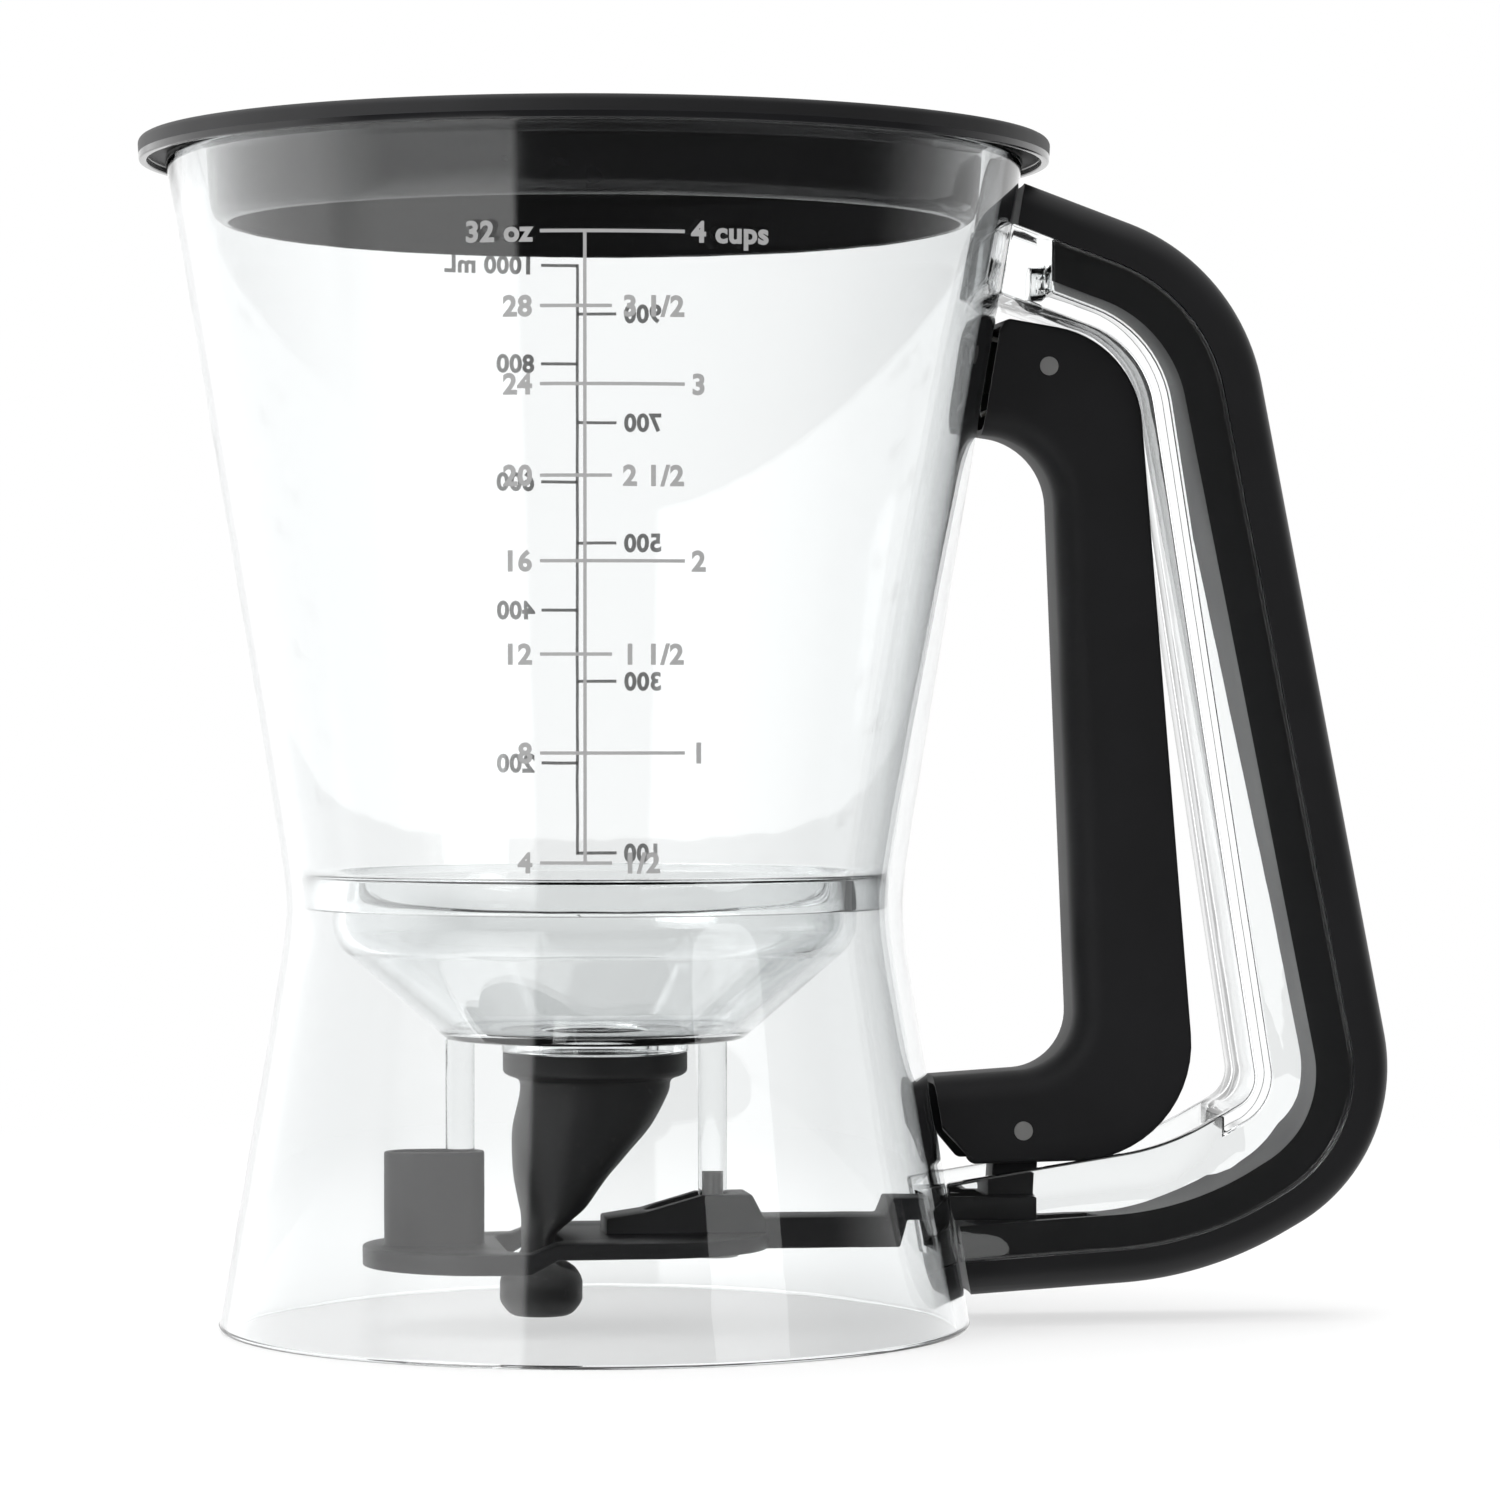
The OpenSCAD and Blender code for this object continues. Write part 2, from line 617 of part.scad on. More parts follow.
module trigger() color(black) difference() {
    union() {
        difference() {
            slab(rounded(trigger_corners, trigger_radii), trigger_w);
            slab(rounded(hollow_corners, hollow_radii), trigger_w - 2 * trigger_wall);
        }
        for (i = [1 : 3]) {
            z = link_z + (hinge_z - link_z) * i / 4;
            translate([blade_x(z) + trigger_wall / 2, -trigger_w / 2 + trigger_wall / 2, z])
                cube([rib_depth, trigger_w - trigger_wall, rib_t]);
        }
    }
    jug_space(jug_gap);
    pin(hinge_x, hinge_z, pin_d + 2 * pin_gap, trigger_w + over);
    pin(link_x, link_z, pin_d + 2 * weld_gap, trigger_w + over);
}
module hinge_pin() color(steel) pin(hinge_x, hinge_z, pin_d, trigger_w);
module link_pin() color(steel) pin(link_x, link_z, pin_d, trigger_w);

// ---- trigger's torsion spring ------------------------------------------------------

wire_sides = 6;
rings_per_turn = 8;
leg_a = -66;          // where the jug's leg meets the coil
leg_tip_h = head_top - trigger_wall - wire_d / 2 - weld_gap;   // the tip bears on the head's roof
leg_b = 180 - asin(leg_tip_h / norm([coil_r, trigger_leg_l])) - atan2(trigger_leg_l, coil_r);
coil_angle = leg_b - leg_a + 360 * coil_turns;
coil_rings = ceil(coil_angle / 360 * rings_per_turn);
coil_y = lug_w / 2 + slide_gap / 2 + wire_d / 2;
function coil_point(a) = [hinge_x + coil_r * cos(leg_a + a), coil_y + coil_pitch * a / 360,
                          hinge_z + coil_r * sin(leg_a + a)];
function coil_way(a) = [-sin(leg_a + a), 0, cos(leg_a + a)];
coil_line = [for (i = [0 : coil_rings]) coil_point(coil_angle * i / coil_rings)];
spring_line = [coil_line[0] - jug_leg_l * coil_way(0), each coil_line,
               coil_line[coil_rings] + trigger_leg_l * coil_way(coil_angle)];
function ring_turn(i) = leg_a + coil_angle * max(0, min(coil_rings, i - 1)) / coil_rings;
function wire_ring(i) = [for (k = [0 : wire_sides - 1])
    let (b = 360 * k / wire_sides, out = [cos(ring_turn(i)), 0, sin(ring_turn(i))])
    spring_line[i] + wire_d / 2 * (cos(b) * out + [0, sin(b), 0])];
function tube_faces(rings, sides) = [
    for (i = [0 : rings - 2]) for (k = [0 : sides - 1])
        let (a = i * sides + k, b = i * sides + (k + 1) % sides)
        each [[a, b, b + sides], [a, b + sides, a + sides]],
    [for (k = [sides - 1 : -1 : 0]) k],
    [for (k = [0 : sides - 1]) (rings - 1) * sides + k]];

coil_gap = min([for (i = [0 : coil_rings - rings_per_turn]) for (j = [i + 5 : coil_rings])
    norm(coil_line[i] - coil_line[j])]) - wire_d;
echo(coil_gap = coil_gap);

module trigger_spring() color(steel)
    polyhedron([for (i = [0 : len(spring_line) - 1]) each wire_ring(i)],
               tube_faces(len(spring_line), wire_sides), convexity = 6);

// ---- valve arm -----------------------------------------------------------------------

ring_top = ring_z + ring_t;
plate_top = plate_z + plate_t;
tail_x = link_x + tail_out;
slot_w = post_d + 2 * slide_gap;
function slot_x0(x) = x - post_d / 2 - slide_gap - stroke;
function slot_x1(x) = x + post_d / 2 + slide_gap;

module post_slot(x) obround(slot_x0(x), slot_x1(x), slot_w, plate_z - over, box_top_z + over);

module arm_plan() difference() {
    hull() {
        translate([arm_half_w - arm_left_x, 0]) circle(r = arm_half_w);
        translate([ring_right_x - arm_half_w, 0]) circle(r = arm_half_w);
    }
    // the nozzle's opening, long across the arm because the pinched nozzle is
    w = mouth_left_x - mouth_right_x;
    hull() for (side = [-1, 1])
        translate([-mouth_right_x - w / 2, side * (mouth_half_w - w / 2)]) circle(d = w);
}

bar_end_x = 47.3;      // where the bar steps up into the tail, still inside the skirt
step_x = 1.2;
tab_back = 4.4;

module valve_arm() color(black) difference() {
    union() {
        intersection() {
            linear_extrude(box_top_z) arm_plan();
            slab([[-arm_left_x - over, plate_z], [-mouth_left_x + 3, plate_z], [-mouth_right_x - 1.4, ring_z],
                  [ring_right_x + over, ring_z], [ring_right_x + over, ring_top],
                  [-mouth_right_x - 1.4, ring_top], [-mouth_left_x + 3, plate_top],
                  [-arm_left_x - over, plate_top]], 3 * arm_half_w);
        }
        // guide box of the left post
        obround(slot_x0(-left_post_x) - box_wall, slot_x1(-left_post_x) + box_wall, box_w,
                plate_z + plate_t / 2, box_top_z);
        // wedge round the right post
        slab([[wedge_left_x, ring_z + ring_t / 2], [wedge_left_x, wedge_toe_z],
              [wedge_left_x + 6.2, wedge_toe_z + 0.9], [right_post_x - post_d / 2, wedge_top_z - 0.1],
              [wedge_right_x, wedge_top_z], [wedge_right_x + 2, bar_z + bar_h - 0.2],
              [wedge_right_x + 2, ring_z + ring_t / 2]], wedge_w);
        // bar, and its step up into the tail
        slab([[wedge_right_x, bar_z], [bar_end_x, bar_z], [bar_end_x + step_x, tail_z],
              [tail_x, tail_z], [tail_x, tail_z + tail_h], [bar_end_x - step_x, tail_z + tail_h],
              [bar_end_x - 2 * step_x, bar_z + bar_h], [wedge_right_x, bar_z + bar_h]], bar_w);
        // tab up into the trigger
        slab([[link_x - tab_back, tail_z + tail_h / 2], [link_x + tab_r * 0.7, tail_z + tail_h / 2],
              [link_x + tab_r, link_z], [link_x - tab_r, link_z]], tab_w);
        pin(link_x, link_z, 2 * tab_r, tab_w);
    }
    post_slot(-left_post_x);
    post_slot(right_post_x);
    pin(link_x, link_z, pin_d + 2 * (pin_gap + link_rise), tab_w + over);
}

// ---- nozzle ------------------------------------------------------------------------------

// Sections of the nozzle at rest, kinked by the arm: height, middle, half length, half width
nozzle_top_z = collar_z - weld_gap;
grip_r = spout_r + weld_gap;
pinch_x = -mouth_right_x - nozzle_wall - 0.9;
nozzle_sections = [
    [nozzle_top_z, 0, flange_r, flange_r],
    [nozzle_top_z - flange_h + 0.6, 0, flange_r, flange_r],
    [spout_z + 0.1, 0, grip_r + nozzle_wall, grip_r + nozzle_wall],
    [31, -2.1, 10.7, 12.4],
    [27, -3.9, 9, 12.9],
    [23, -5.5, 7.1, 13.4],
    [19, -6.4, 5.4, 13.9],
    [ring_top + 2.8, -7.4, 3.9, 14.3],
    [ring_top + 0.4, pinch_x, nozzle_wall + 0.5, 14.6],
    [11.4, pinch_x, nozzle_wall + 0.5, 14],
    [9.2, -outlet_x, bulb_r - 1.2, bulb_r + 3],
    [7, -outlet_x, bulb_r, bulb_r + 0.6],
    [4.4, -outlet_x, bulb_r, bulb_r],
    [outlet_z + 0.6, -outlet_x, bulb_r - 1.2, bulb_r - 1.2],
    [outlet_z, -outlet_x, bulb_r - 2.2, bulb_r - 2.2]];
bore_sections = [for (s = nozzle_sections)
    s[0] > spout_z ? [s[0], 0, grip_r, grip_r]
                   : [s[0], s[1], max(0.3, s[2] - nozzle_wall), max(0.3, s[3] - nozzle_wall)]];
nozzle_sides = 32;
function section_ring(s) = [for (k = [0 : nozzle_sides - 1])
    let (a = 360 * k / nozzle_sides) [s[1] + s[2] * cos(a), s[3] * sin(a), s[0]]];
module loft(sections) polyhedron([for (s = sections) each section_ring(s)],
    tube_faces(len(sections), nozzle_sides), convexity = 4);

module nozzle() color(black) difference() {
    loft(nozzle_sections);
    loft([for (i = [0 : len(bore_sections) - 1])
        let (s = bore_sections[i], open = i == 0 ? over : i == len(bore_sections) - 1 ? -over : 0)
        [s[0] + open, s[1], s[2], s[3]]]);
}

jug();
skirt();
funnel_bowl();
left_guide_post();
right_guide_post();
guide_screws();
lid();
handle_frame();
handle_root_plug();
grip();
trigger();
hinge_pin();
link_pin();
trigger_spring();
valve_arm();
nozzle();
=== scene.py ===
"""Looks of a pancake batter dispenser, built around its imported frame.

The frame holds the real pieces at their real places. This script dresses them:
clear moulded plastic, black moulded plastic, soft silicone, steel pins and the
grey printed measuring scale. All lengths are metres, +Z is up, and the handle
points along +X.
"""

import logging
import math
from dataclasses import dataclass
from enum import Enum
from typing import Optional, Sequence

import bmesh
import bpy
from bmesh.types import BMEdge, BMesh, BMVert
from bpy.types import Material, Node, NodeSocket, NodeTree, Object
from mathutils import Matrix, Vector


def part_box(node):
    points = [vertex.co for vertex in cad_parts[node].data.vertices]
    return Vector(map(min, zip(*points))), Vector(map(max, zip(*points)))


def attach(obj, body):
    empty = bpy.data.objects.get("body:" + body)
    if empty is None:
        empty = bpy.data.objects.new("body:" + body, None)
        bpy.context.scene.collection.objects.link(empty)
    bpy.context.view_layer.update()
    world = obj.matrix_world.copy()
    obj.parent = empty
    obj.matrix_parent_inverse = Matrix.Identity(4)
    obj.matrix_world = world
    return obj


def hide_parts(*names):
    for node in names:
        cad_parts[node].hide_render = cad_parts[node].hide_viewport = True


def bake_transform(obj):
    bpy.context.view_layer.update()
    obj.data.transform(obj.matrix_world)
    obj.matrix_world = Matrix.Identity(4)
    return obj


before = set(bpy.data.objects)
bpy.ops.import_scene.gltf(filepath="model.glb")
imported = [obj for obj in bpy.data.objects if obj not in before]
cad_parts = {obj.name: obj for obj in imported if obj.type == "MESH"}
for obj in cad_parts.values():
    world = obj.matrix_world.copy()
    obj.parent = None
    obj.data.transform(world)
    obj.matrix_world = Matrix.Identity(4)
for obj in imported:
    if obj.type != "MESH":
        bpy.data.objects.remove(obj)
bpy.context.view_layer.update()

MM = 0.001
SAME = 0.001 * MM
SHARP = math.radians(38)
LOG = logging.getLogger("dispenser")
Point = tuple[float, float]
ROOT = "jug_body"
HINGE = (70.0 * MM, 148.8 * MM)
PIN_R = 1.5 * MM
JUG_GAP = 1 * MM


# ---- the photograph's view ----

@dataclass(frozen=True)
class PhotoView:
    """Where the photograph was taken from."""

    image_px: float = 1500.0
    focal_px: float = 5500.0
    jug_axis_px: float = 595.0
    horizon_px: float = 705.0
    mm_per_px: float = 0.155
    turn: float = math.radians(6.0)
    eye_height: float = 96.2 * MM
    sensor_mm: float = 36.0

    @property
    def distance(self) -> float:
        """Distance from the lens to the jug's axis."""
        return self.focal_px * self.mm_per_px * MM

    @property
    def look(self) -> Vector:
        """Level direction from the lens to the jug's axis."""
        return Vector((math.sin(self.turn), math.cos(self.turn), 0.0))

    @property
    def right(self) -> Vector:
        """Level direction that runs to the right in the image."""
        return Vector((math.cos(self.turn), -math.sin(self.turn), 0.0))


VIEW = PhotoView()


# ---- the jug's outline ----

@dataclass(frozen=True)
class JugOutline:
    """Outer surface of the jug and skirt: two cones that meet in a soft waist."""

    rim_z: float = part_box("jug")[1].z
    rim_r: float = 66.2 * MM
    waist_r: float = 47.7 * MM
    waist_z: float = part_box("jug")[0].z
    blend: float = 0.8 * MM
    foot_r: float = 58.1 * MM
    wall: float = 2.3 * MM

    def slope(self, above: bool) -> float:
        """Slope of the cone above or below the waist."""
        radius = self.rim_r if above else self.foot_r
        height = self.rim_z - self.waist_z if above else self.waist_z
        return math.sqrt((radius - self.waist_r + self.blend) ** 2 - self.blend ** 2) / height

    def radius(self, z: float) -> float:
        """Outer radius at a height."""
        rise = self.slope(z > self.waist_z) * (z - self.waist_z)
        return self.waist_r - self.blend + math.hypot(rise, self.blend)


JUG = JugOutline()


# ---- flat outlines ----

def arc(centre: Point, radius: float, start: float, end: float, steps: int) -> list[Point]:
    """Points along an arc.

    Args:
        centre: middle of the circle.
        radius: its radius.
        start: first angle in degrees.
        end: last angle in degrees.
        steps: number of chords.
    Returns:
        The points, both ends included.
    """
    angles = [math.radians(start + (end - start) * i / steps) for i in range(steps + 1)]
    return [(centre[0] + radius * math.cos(a), centre[1] + radius * math.sin(a)) for a in angles]


def rounded(points: Sequence[Point], radii: Sequence[float], steps: int,
            closed: bool = True) -> list[Point]:
    """Round the corners of an outline.

    Args:
        points: the corners in order.
        radii: a radius for each corner, 0 to keep it sharp.
        steps: chords in each round.
        closed: False for an open line, whose ends stay as they are.
    Returns:
        The rounded outline.
    """
    out: list[Point] = []
    count = len(points)
    for i, radius in enumerate(radii):
        here = Vector(points[i])
        if radius <= 0 or (not closed and i in (0, count - 1)):
            out.append(tuple(here))
            continue
        u = (Vector(points[i - 1]) - here).normalized()
        v = (Vector(points[(i + 1) % count]) - here).normalized()
        half = math.acos(max(-1.0, min(1.0, u.dot(v)))) / 2
        centre = here + (u + v).normalized() * radius / math.sin(half)
        p = here + u * radius / math.tan(half) - centre
        q = here + v * radius / math.tan(half) - centre
        start = math.degrees(math.atan2(p.y, p.x))
        turn = math.degrees(math.atan2(p.x * q.y - p.y * q.x, p.dot(q)))
        out += arc(tuple(centre), radius, start, start + turn, steps)
    return out


def soft_section(corners: Sequence[tuple[float, float, float]], steps: int) -> list[Point]:
    """Round a closed outline whose corners carry their own radius, in millimetres, third."""
    return rounded([(r, z) for r, z, _ in corners], [soft * MM for *_, soft in corners], steps)


def cross2(a: Vector, b: Vector) -> float:
    """Cross product of two flat vectors."""
    return a.x * b.y - a.y * b.x


def inset_line(points: Sequence[Point], depths: Sequence[Point]) -> list[Point]:
    """Move an open line to its right by a depth at each end of each stretch.

    Args:
        points: the line's corners.
        depths: for each stretch, its depth at the start and at the end.
    Returns:
        The moved line, with as many corners.
    """
    runs = []
    for p, q, (at_start, at_end) in zip(points, points[1:], depths):
        a, b = Vector(p), Vector(q)
        way = (b - a).normalized()
        side = Vector((way.y, -way.x))
        runs.append((a + side * at_start, b + side * at_end))
    out = [tuple(runs[0][0])]
    for (a, b), (c, d) in zip(runs, runs[1:]):
        u, v = b - a, d - c
        out.append(tuple(a + u * (cross2(c - a, v) / cross2(u, v))))
    return out + [tuple(runs[-1][1])]


# ---- mesh making ----

def linked(name: str, data: bpy.types.ID) -> Object:
    """Make an object from a mesh, text, lamp or camera and link it to the scene."""
    made = bpy.data.objects.new(name, data)
    bpy.context.scene.collection.objects.link(made)
    return made


def shade(mesh: bpy.types.Mesh) -> None:
    """Shade a mesh smooth, but for its sharp edges."""
    mesh.shade_smooth()
    mesh.set_sharp_from_angle(angle=SHARP)


def finish_mesh(bm: BMesh, name: str, merge: float = SAME) -> Object:
    """Merge doubles, point the faces outwards and make an object at the origin.

    Args:
        bm: the mesh, freed here.
        name: the piece's name.
        merge: distance under which vertices are joined.
    Returns:
        The new object, linked to the scene.
    """
    bmesh.ops.remove_doubles(bm, verts=bm.verts, dist=merge)
    bmesh.ops.recalc_face_normals(bm, faces=bm.faces)
    mesh = bpy.data.meshes.new(name)
    bm.to_mesh(mesh)
    bm.free()
    shade(mesh)
    return linked(name, mesh)


def lathe(name: str, profile: Sequence[Point], steps: int = 180) -> Object:
    """Spin a closed profile about the jug's axis.

    Args:
        name: the piece's name.
        profile: radius and height of each corner, in order round the section.
        steps: faces round the axis.
    Returns:
        The turned piece.
    """
    bm = bmesh.new()
    verts = [bm.verts.new((r, 0.0, z)) for r, z in profile]
    edges = [bm.edges.new(pair) for pair in zip(verts, verts[1:] + verts[:1])
             if pair[0].co.x > SAME or pair[1].co.x > SAME]
    bmesh.ops.spin(bm, geom=verts + edges, cent=(0, 0, 0), axis=(0, 0, 1), angle=math.tau,
                   steps=steps, use_merge=True)
    return finish_mesh(bm, name)


def prism(outline: Sequence[Point], width: float) -> BMesh:
    """Extrude an outline in X and Z to a width along Y, centred on Y = 0.

    Args:
        outline: corners in X and Z.
        width: the prism's width.
    Returns:
        A new mesh with its two flat sides and its rim.
    """
    bm = bmesh.new()
    face = bm.faces.new([bm.verts.new((x, -width / 2, z)) for x, z in outline])
    grown = bmesh.ops.extrude_face_region(bm, geom=[face])
    moved = [v for v in grown["geom"] if isinstance(v, BMVert)]
    bmesh.ops.translate(bm, verts=moved, vec=(0.0, width, 0.0))
    bmesh.ops.recalc_face_normals(bm, faces=bm.faces)
    return bm


def round_edges(bm: BMesh, edges: Sequence[BMEdge], radius: float, segments: int) -> None:
    """Bevel some edges to a round."""
    bmesh.ops.bevel(bm, geom=list(edges), offset=radius, offset_type="OFFSET", affect="EDGES",
                    segments=segments, profile=0.5, material=-1, clamp_overlap=False)


def rim_of(bm: BMesh, width: float, line: Sequence[Point]) -> list[BMEdge]:
    """Find the edges of a prism's two flat sides that follow a line of its outline.

    Args:
        bm: the prism.
        width: its width.
        line: points of its outline, in X and Z.
    Returns:
        The edges whose two corners lie on the line and on the same side.
    """
    def on_line(v: BMVert) -> bool:
        """Whether a corner is on a flat side and is one of the line's points."""
        return (abs(abs(v.co.y) - width / 2) < SAME
                and any(abs(v.co.x - x) < SAME and abs(v.co.z - z) < SAME for x, z in line))
    return [e for e in bm.edges
            if abs(e.verts[0].co.y - e.verts[1].co.y) < SAME and all(on_line(v) for v in e.verts)]


def combine(piece: Object, tools: Sequence[Object], operation: str = "DIFFERENCE",
            folded: bool = False) -> None:
    """Cut tools out of a piece, or join them to it, and delete the tools.

    Args:
        piece: the piece that changes.
        tools: closed solids.
        operation: DIFFERENCE or UNION.
        folded: True where the piece's own faces may cross each other.
    """
    for tool in tools:
        cut = piece.modifiers.new("cut", "BOOLEAN")
        cut.operation, cut.solver, cut.object, cut.use_self = operation, "EXACT", tool, folded
    graph = bpy.context.evaluated_depsgraph_get()
    graph.update()
    mesh = bpy.data.meshes.new_from_object(piece.evaluated_get(graph))
    piece.modifiers.clear()
    piece.data = mesh
    mesh.name = piece.name
    shade(mesh)
    for tool in tools:
        bpy.data.objects.remove(tool)


def softened(node: str, name: str, radius: float, segments: int, bend: float = 35.0) -> Object:
    """Copy a frame node's solid and round its sharp edges.

    Args:
        node: the frame's node.
        name: the new piece's name.
        radius: radius of the rounds.
        segments: faces across a round.
        bend: least angle in degrees between two faces whose edge is rounded.
    Returns:
        The new piece, which doesn't replace the node yet.
    """
    flat = math.radians(0.6)
    bm = bmesh.new()
    bm.from_mesh(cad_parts[node].data)
    bmesh.ops.remove_doubles(bm, verts=bm.verts, dist=2 * SAME)
    bmesh.ops.dissolve_limit(bm, angle_limit=flat, verts=bm.verts, edges=bm.edges)
    sharp = [e for e in bm.edges if len(e.link_faces) == 2
             and e.calc_face_angle(0.0) > math.radians(bend)]
    round_edges(bm, sharp, radius, segments)
    return finish_mesh(bm, name, merge=SAME / 10)


def place(piece: Object, body: Optional[str], slot: str, material: Material, *nodes: str) -> None:
    """Give a piece its material and body, and hide the frame's nodes that it stands for.

    Args:
        piece: the finished piece.
        body: the body it rides on, or None where it is blended.
        slot: its slot, not used.
        material: its finish.
        nodes: the frame's nodes that it stands for.
    """
    piece.data.materials.clear()
    piece.data.materials.append(material)
    if body:
        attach(piece, body)
    if nodes:
        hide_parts(*nodes)
    LOG.info("%s: %d faces on %s", piece.name, len(piece.data.polygons), body)


# ---- finishes ----

def srgb(code: str) -> tuple[float, float, float, float]:
    """Turn an sRGB hex colour into linear RGBA."""
    parts = [int(code[i:i + 2], 16) / 255 for i in (1, 3, 5)]
    linear = [c / 12.92 if c <= 0.04045 else ((c + 0.055) / 1.055) ** 2.4 for c in parts]
    return (linear[0], linear[1], linear[2], 1.0)


def add_node(tree: NodeTree, kind: str, inputs: Optional[dict] = None, **settings: object) -> Node:
    """Add one shader node.

    Args:
        tree: the node tree.
        kind: the node's type name.
        inputs: socket name or number to a value, to an output or to a node's first output.
        settings: the node's own properties.
    Returns:
        The node.
    """
    made = tree.nodes.new(kind)
    for name, value in settings.items():
        setattr(made, name, value)
    for key, value in (inputs or {}).items():
        if isinstance(value, Node):
            value = value.outputs[0]
        if isinstance(value, NodeSocket):
            tree.links.new(value, made.inputs[key])
        else:
            made.inputs[key].default_value = value
    return made


@dataclass(frozen=True)
class Coating:
    """A finish with patches across it and lumps on its surface.

    Both are noise of a real size. Each kind of finish makes its own shader from
    the Object coordinates, the patches and the normal that the lumps bend.
    """

    name: str
    patch: float = 14 * MM
    patch_detail: float = 3.0
    lump: float = 0.5 * MM
    lump_detail: float = 2.0
    lump_depth: float = 0.006 * MM
    lump_strength: float = 0.5

    def shader(self, tree: NodeTree, where: NodeSocket, patches: Node, normal: Node) -> Node:
        """Lay out the nodes of one kind of finish, up to its shader."""
        raise NotImplementedError

    def build(self) -> Material:
        """Make the material."""
        material = bpy.data.materials.new(self.name)
        material.use_nodes = True
        tree = material.node_tree
        tree.nodes.clear()
        where = add_node(tree, "ShaderNodeTexCoord").outputs["Object"]
        patches, lumps = (add_node(tree, "ShaderNodeTexNoise", {
            "Vector": where, "Scale": 1 / size, "Detail": detail})
            for size, detail in ((self.patch, self.patch_detail), (self.lump, self.lump_detail)))
        normal = add_node(tree, "ShaderNodeBump", {
            "Height": lumps, "Distance": self.lump_depth, "Strength": self.lump_strength})
        shader = self.shader(tree, where, patches, normal)
        add_node(tree, "ShaderNodeOutputMaterial", {"Surface": shader})
        return material


@dataclass(frozen=True)
class ClearPlastic(Coating):
    """Clear injection-moulded styrene acrylonitrile, polished in the mould.

    It is see-through, with a cool grey shade painted into its colour where it is seen
    edge on, and its faces carry the slow ripple that a mould leaves.
    """

    lump: float = 9 * MM
    lump_detail: float = 1.0
    lump_depth: float = 0.02 * MM
    lump_strength: float = 0.6
    face: str = "#FCFDFD"
    # edge: grey of the painted shade where the surface is seen edge on
    edge: str = "#9FA5A8"
    painted_edge_shade_share: float = 0.18
    roughness: float = 0.015
    ior: float = 1.5

    def shader(self, tree: NodeTree, where: NodeSocket, patches: Node, normal: Node) -> Node:
        """Clear body whose colour greys towards its edges as painted shade."""
        # Painted shade: the colour turns towards the edge grey as the surface turns edge on.
        facing = add_node(tree, "ShaderNodeLayerWeight", {"Blend": self.painted_edge_shade_share}).outputs["Facing"]
        tint = add_node(tree, "ShaderNodeMix", {
            0: facing, 6: srgb(self.face), 7: srgb(self.edge)}, data_type="RGBA")
        return add_node(tree, "ShaderNodeBsdfPrincipled", {
            "Base Color": tint.outputs[2], "Roughness": self.roughness, "IOR": self.ior,
            "Transmission Weight": 1.0, "Normal": normal})


@dataclass(frozen=True)
class BlackPlastic(Coating):
    """Black polypropylene, moulded in a spark-etched tool.

    The etch gives a fine even grain, drawn several times coarser than it is so
    that it shows. Highlights are broad and soft, and handling polishes a few
    patches a little smoother. Under a height the mould is polished, as it is
    round the lid's plug.
    """

    colour: str = "#161617"
    worn: str = "#1E1E20"
    roughness: float = 0.5
    wear: float = 0.06
    shine: float = 0.25
    ior: float = 1.49
    polished_under: float = -1.0
    polished_roughness: float = 0.12

    def shader(self, tree: NodeTree, where: NodeSocket, patches: Node, normal: Node) -> Node:
        """Etched black body with worn patches and a polished lower part."""
        tint = add_node(tree, "ShaderNodeMix", {
            0: patches, 6: srgb(self.colour), 7: srgb(self.worn)}, data_type="RGBA")
        etched = add_node(tree, "ShaderNodeMapRange", {
            "Value": patches, "To Min": self.roughness + self.wear,
            "To Max": self.roughness - self.wear})
        height = add_node(tree, "ShaderNodeSeparateXYZ", {0: where}).outputs["Z"]
        polished = add_node(tree, "ShaderNodeMath", {
            0: height, 1: self.polished_under}, operation="LESS_THAN")
        rough = add_node(tree, "ShaderNodeMix", {
            0: polished, 2: etched, 3: self.polished_roughness}, data_type="FLOAT")
        return add_node(tree, "ShaderNodeBsdfPrincipled", {
            "Base Color": tint.outputs[2], "Roughness": rough, "IOR": self.ior,
            "Specular IOR Level": self.shine, "Normal": normal})


@dataclass(frozen=True)
class Silicone(Coating):
    """Black moulded silicone rubber: matt, slightly greasy, with fine dust on it."""

    patch: float = 1.2 * MM
    patch_detail: float = 4.0
    lump: float = 1.2 * MM
    lump_depth: float = 0.03 * MM
    lump_strength: float = 0.4
    colour: str = "#121213"
    dust: str = "#2A2A2B"
    dust_start: float = 0.62
    dust_full: float = 0.75
    roughness: float = 0.55
    ior: float = 1.41

    def shader(self, tree: NodeTree, where: NodeSocket, patches: Node, normal: Node) -> Node:
        """Matt rubber with specks of dust."""
        specks = add_node(tree, "ShaderNodeMapRange", {
            "Value": patches, "From Min": self.dust_start, "From Max": self.dust_full})
        tint = add_node(tree, "ShaderNodeMix", {
            0: specks, 6: srgb(self.colour), 7: srgb(self.dust)}, data_type="RGBA")
        return add_node(tree, "ShaderNodeBsdfPrincipled", {
            "Base Color": tint.outputs[2], "Roughness": self.roughness, "IOR": self.ior,
            "Normal": normal})


@dataclass(frozen=True)
class Steel(Coating):
    """Stainless steel, cut and tumbled: a matt grey with fine uneven marks."""

    patch: float = 0.12 * MM
    patch_detail: float = 1.0
    lump: float = 0.12 * MM
    lump_detail: float = 1.0
    lump_depth: float = 0.01 * MM
    colour: str = "#C6C6C5"
    smoothest: float = 0.48
    roughest: float = 0.62

    def shader(self, tree: NodeTree, where: NodeSocket, patches: Node, normal: Node) -> Node:
        """Bare metal whose marks scatter its highlights."""
        rough = add_node(tree, "ShaderNodeMapRange", {
            "Value": patches, "To Min": self.smoothest, "To Max": self.roughest})
        return add_node(tree, "ShaderNodeBsdfPrincipled", {
            "Base Color": srgb(self.colour), "Metallic": 1.0, "Roughness": rough, "Normal": normal})


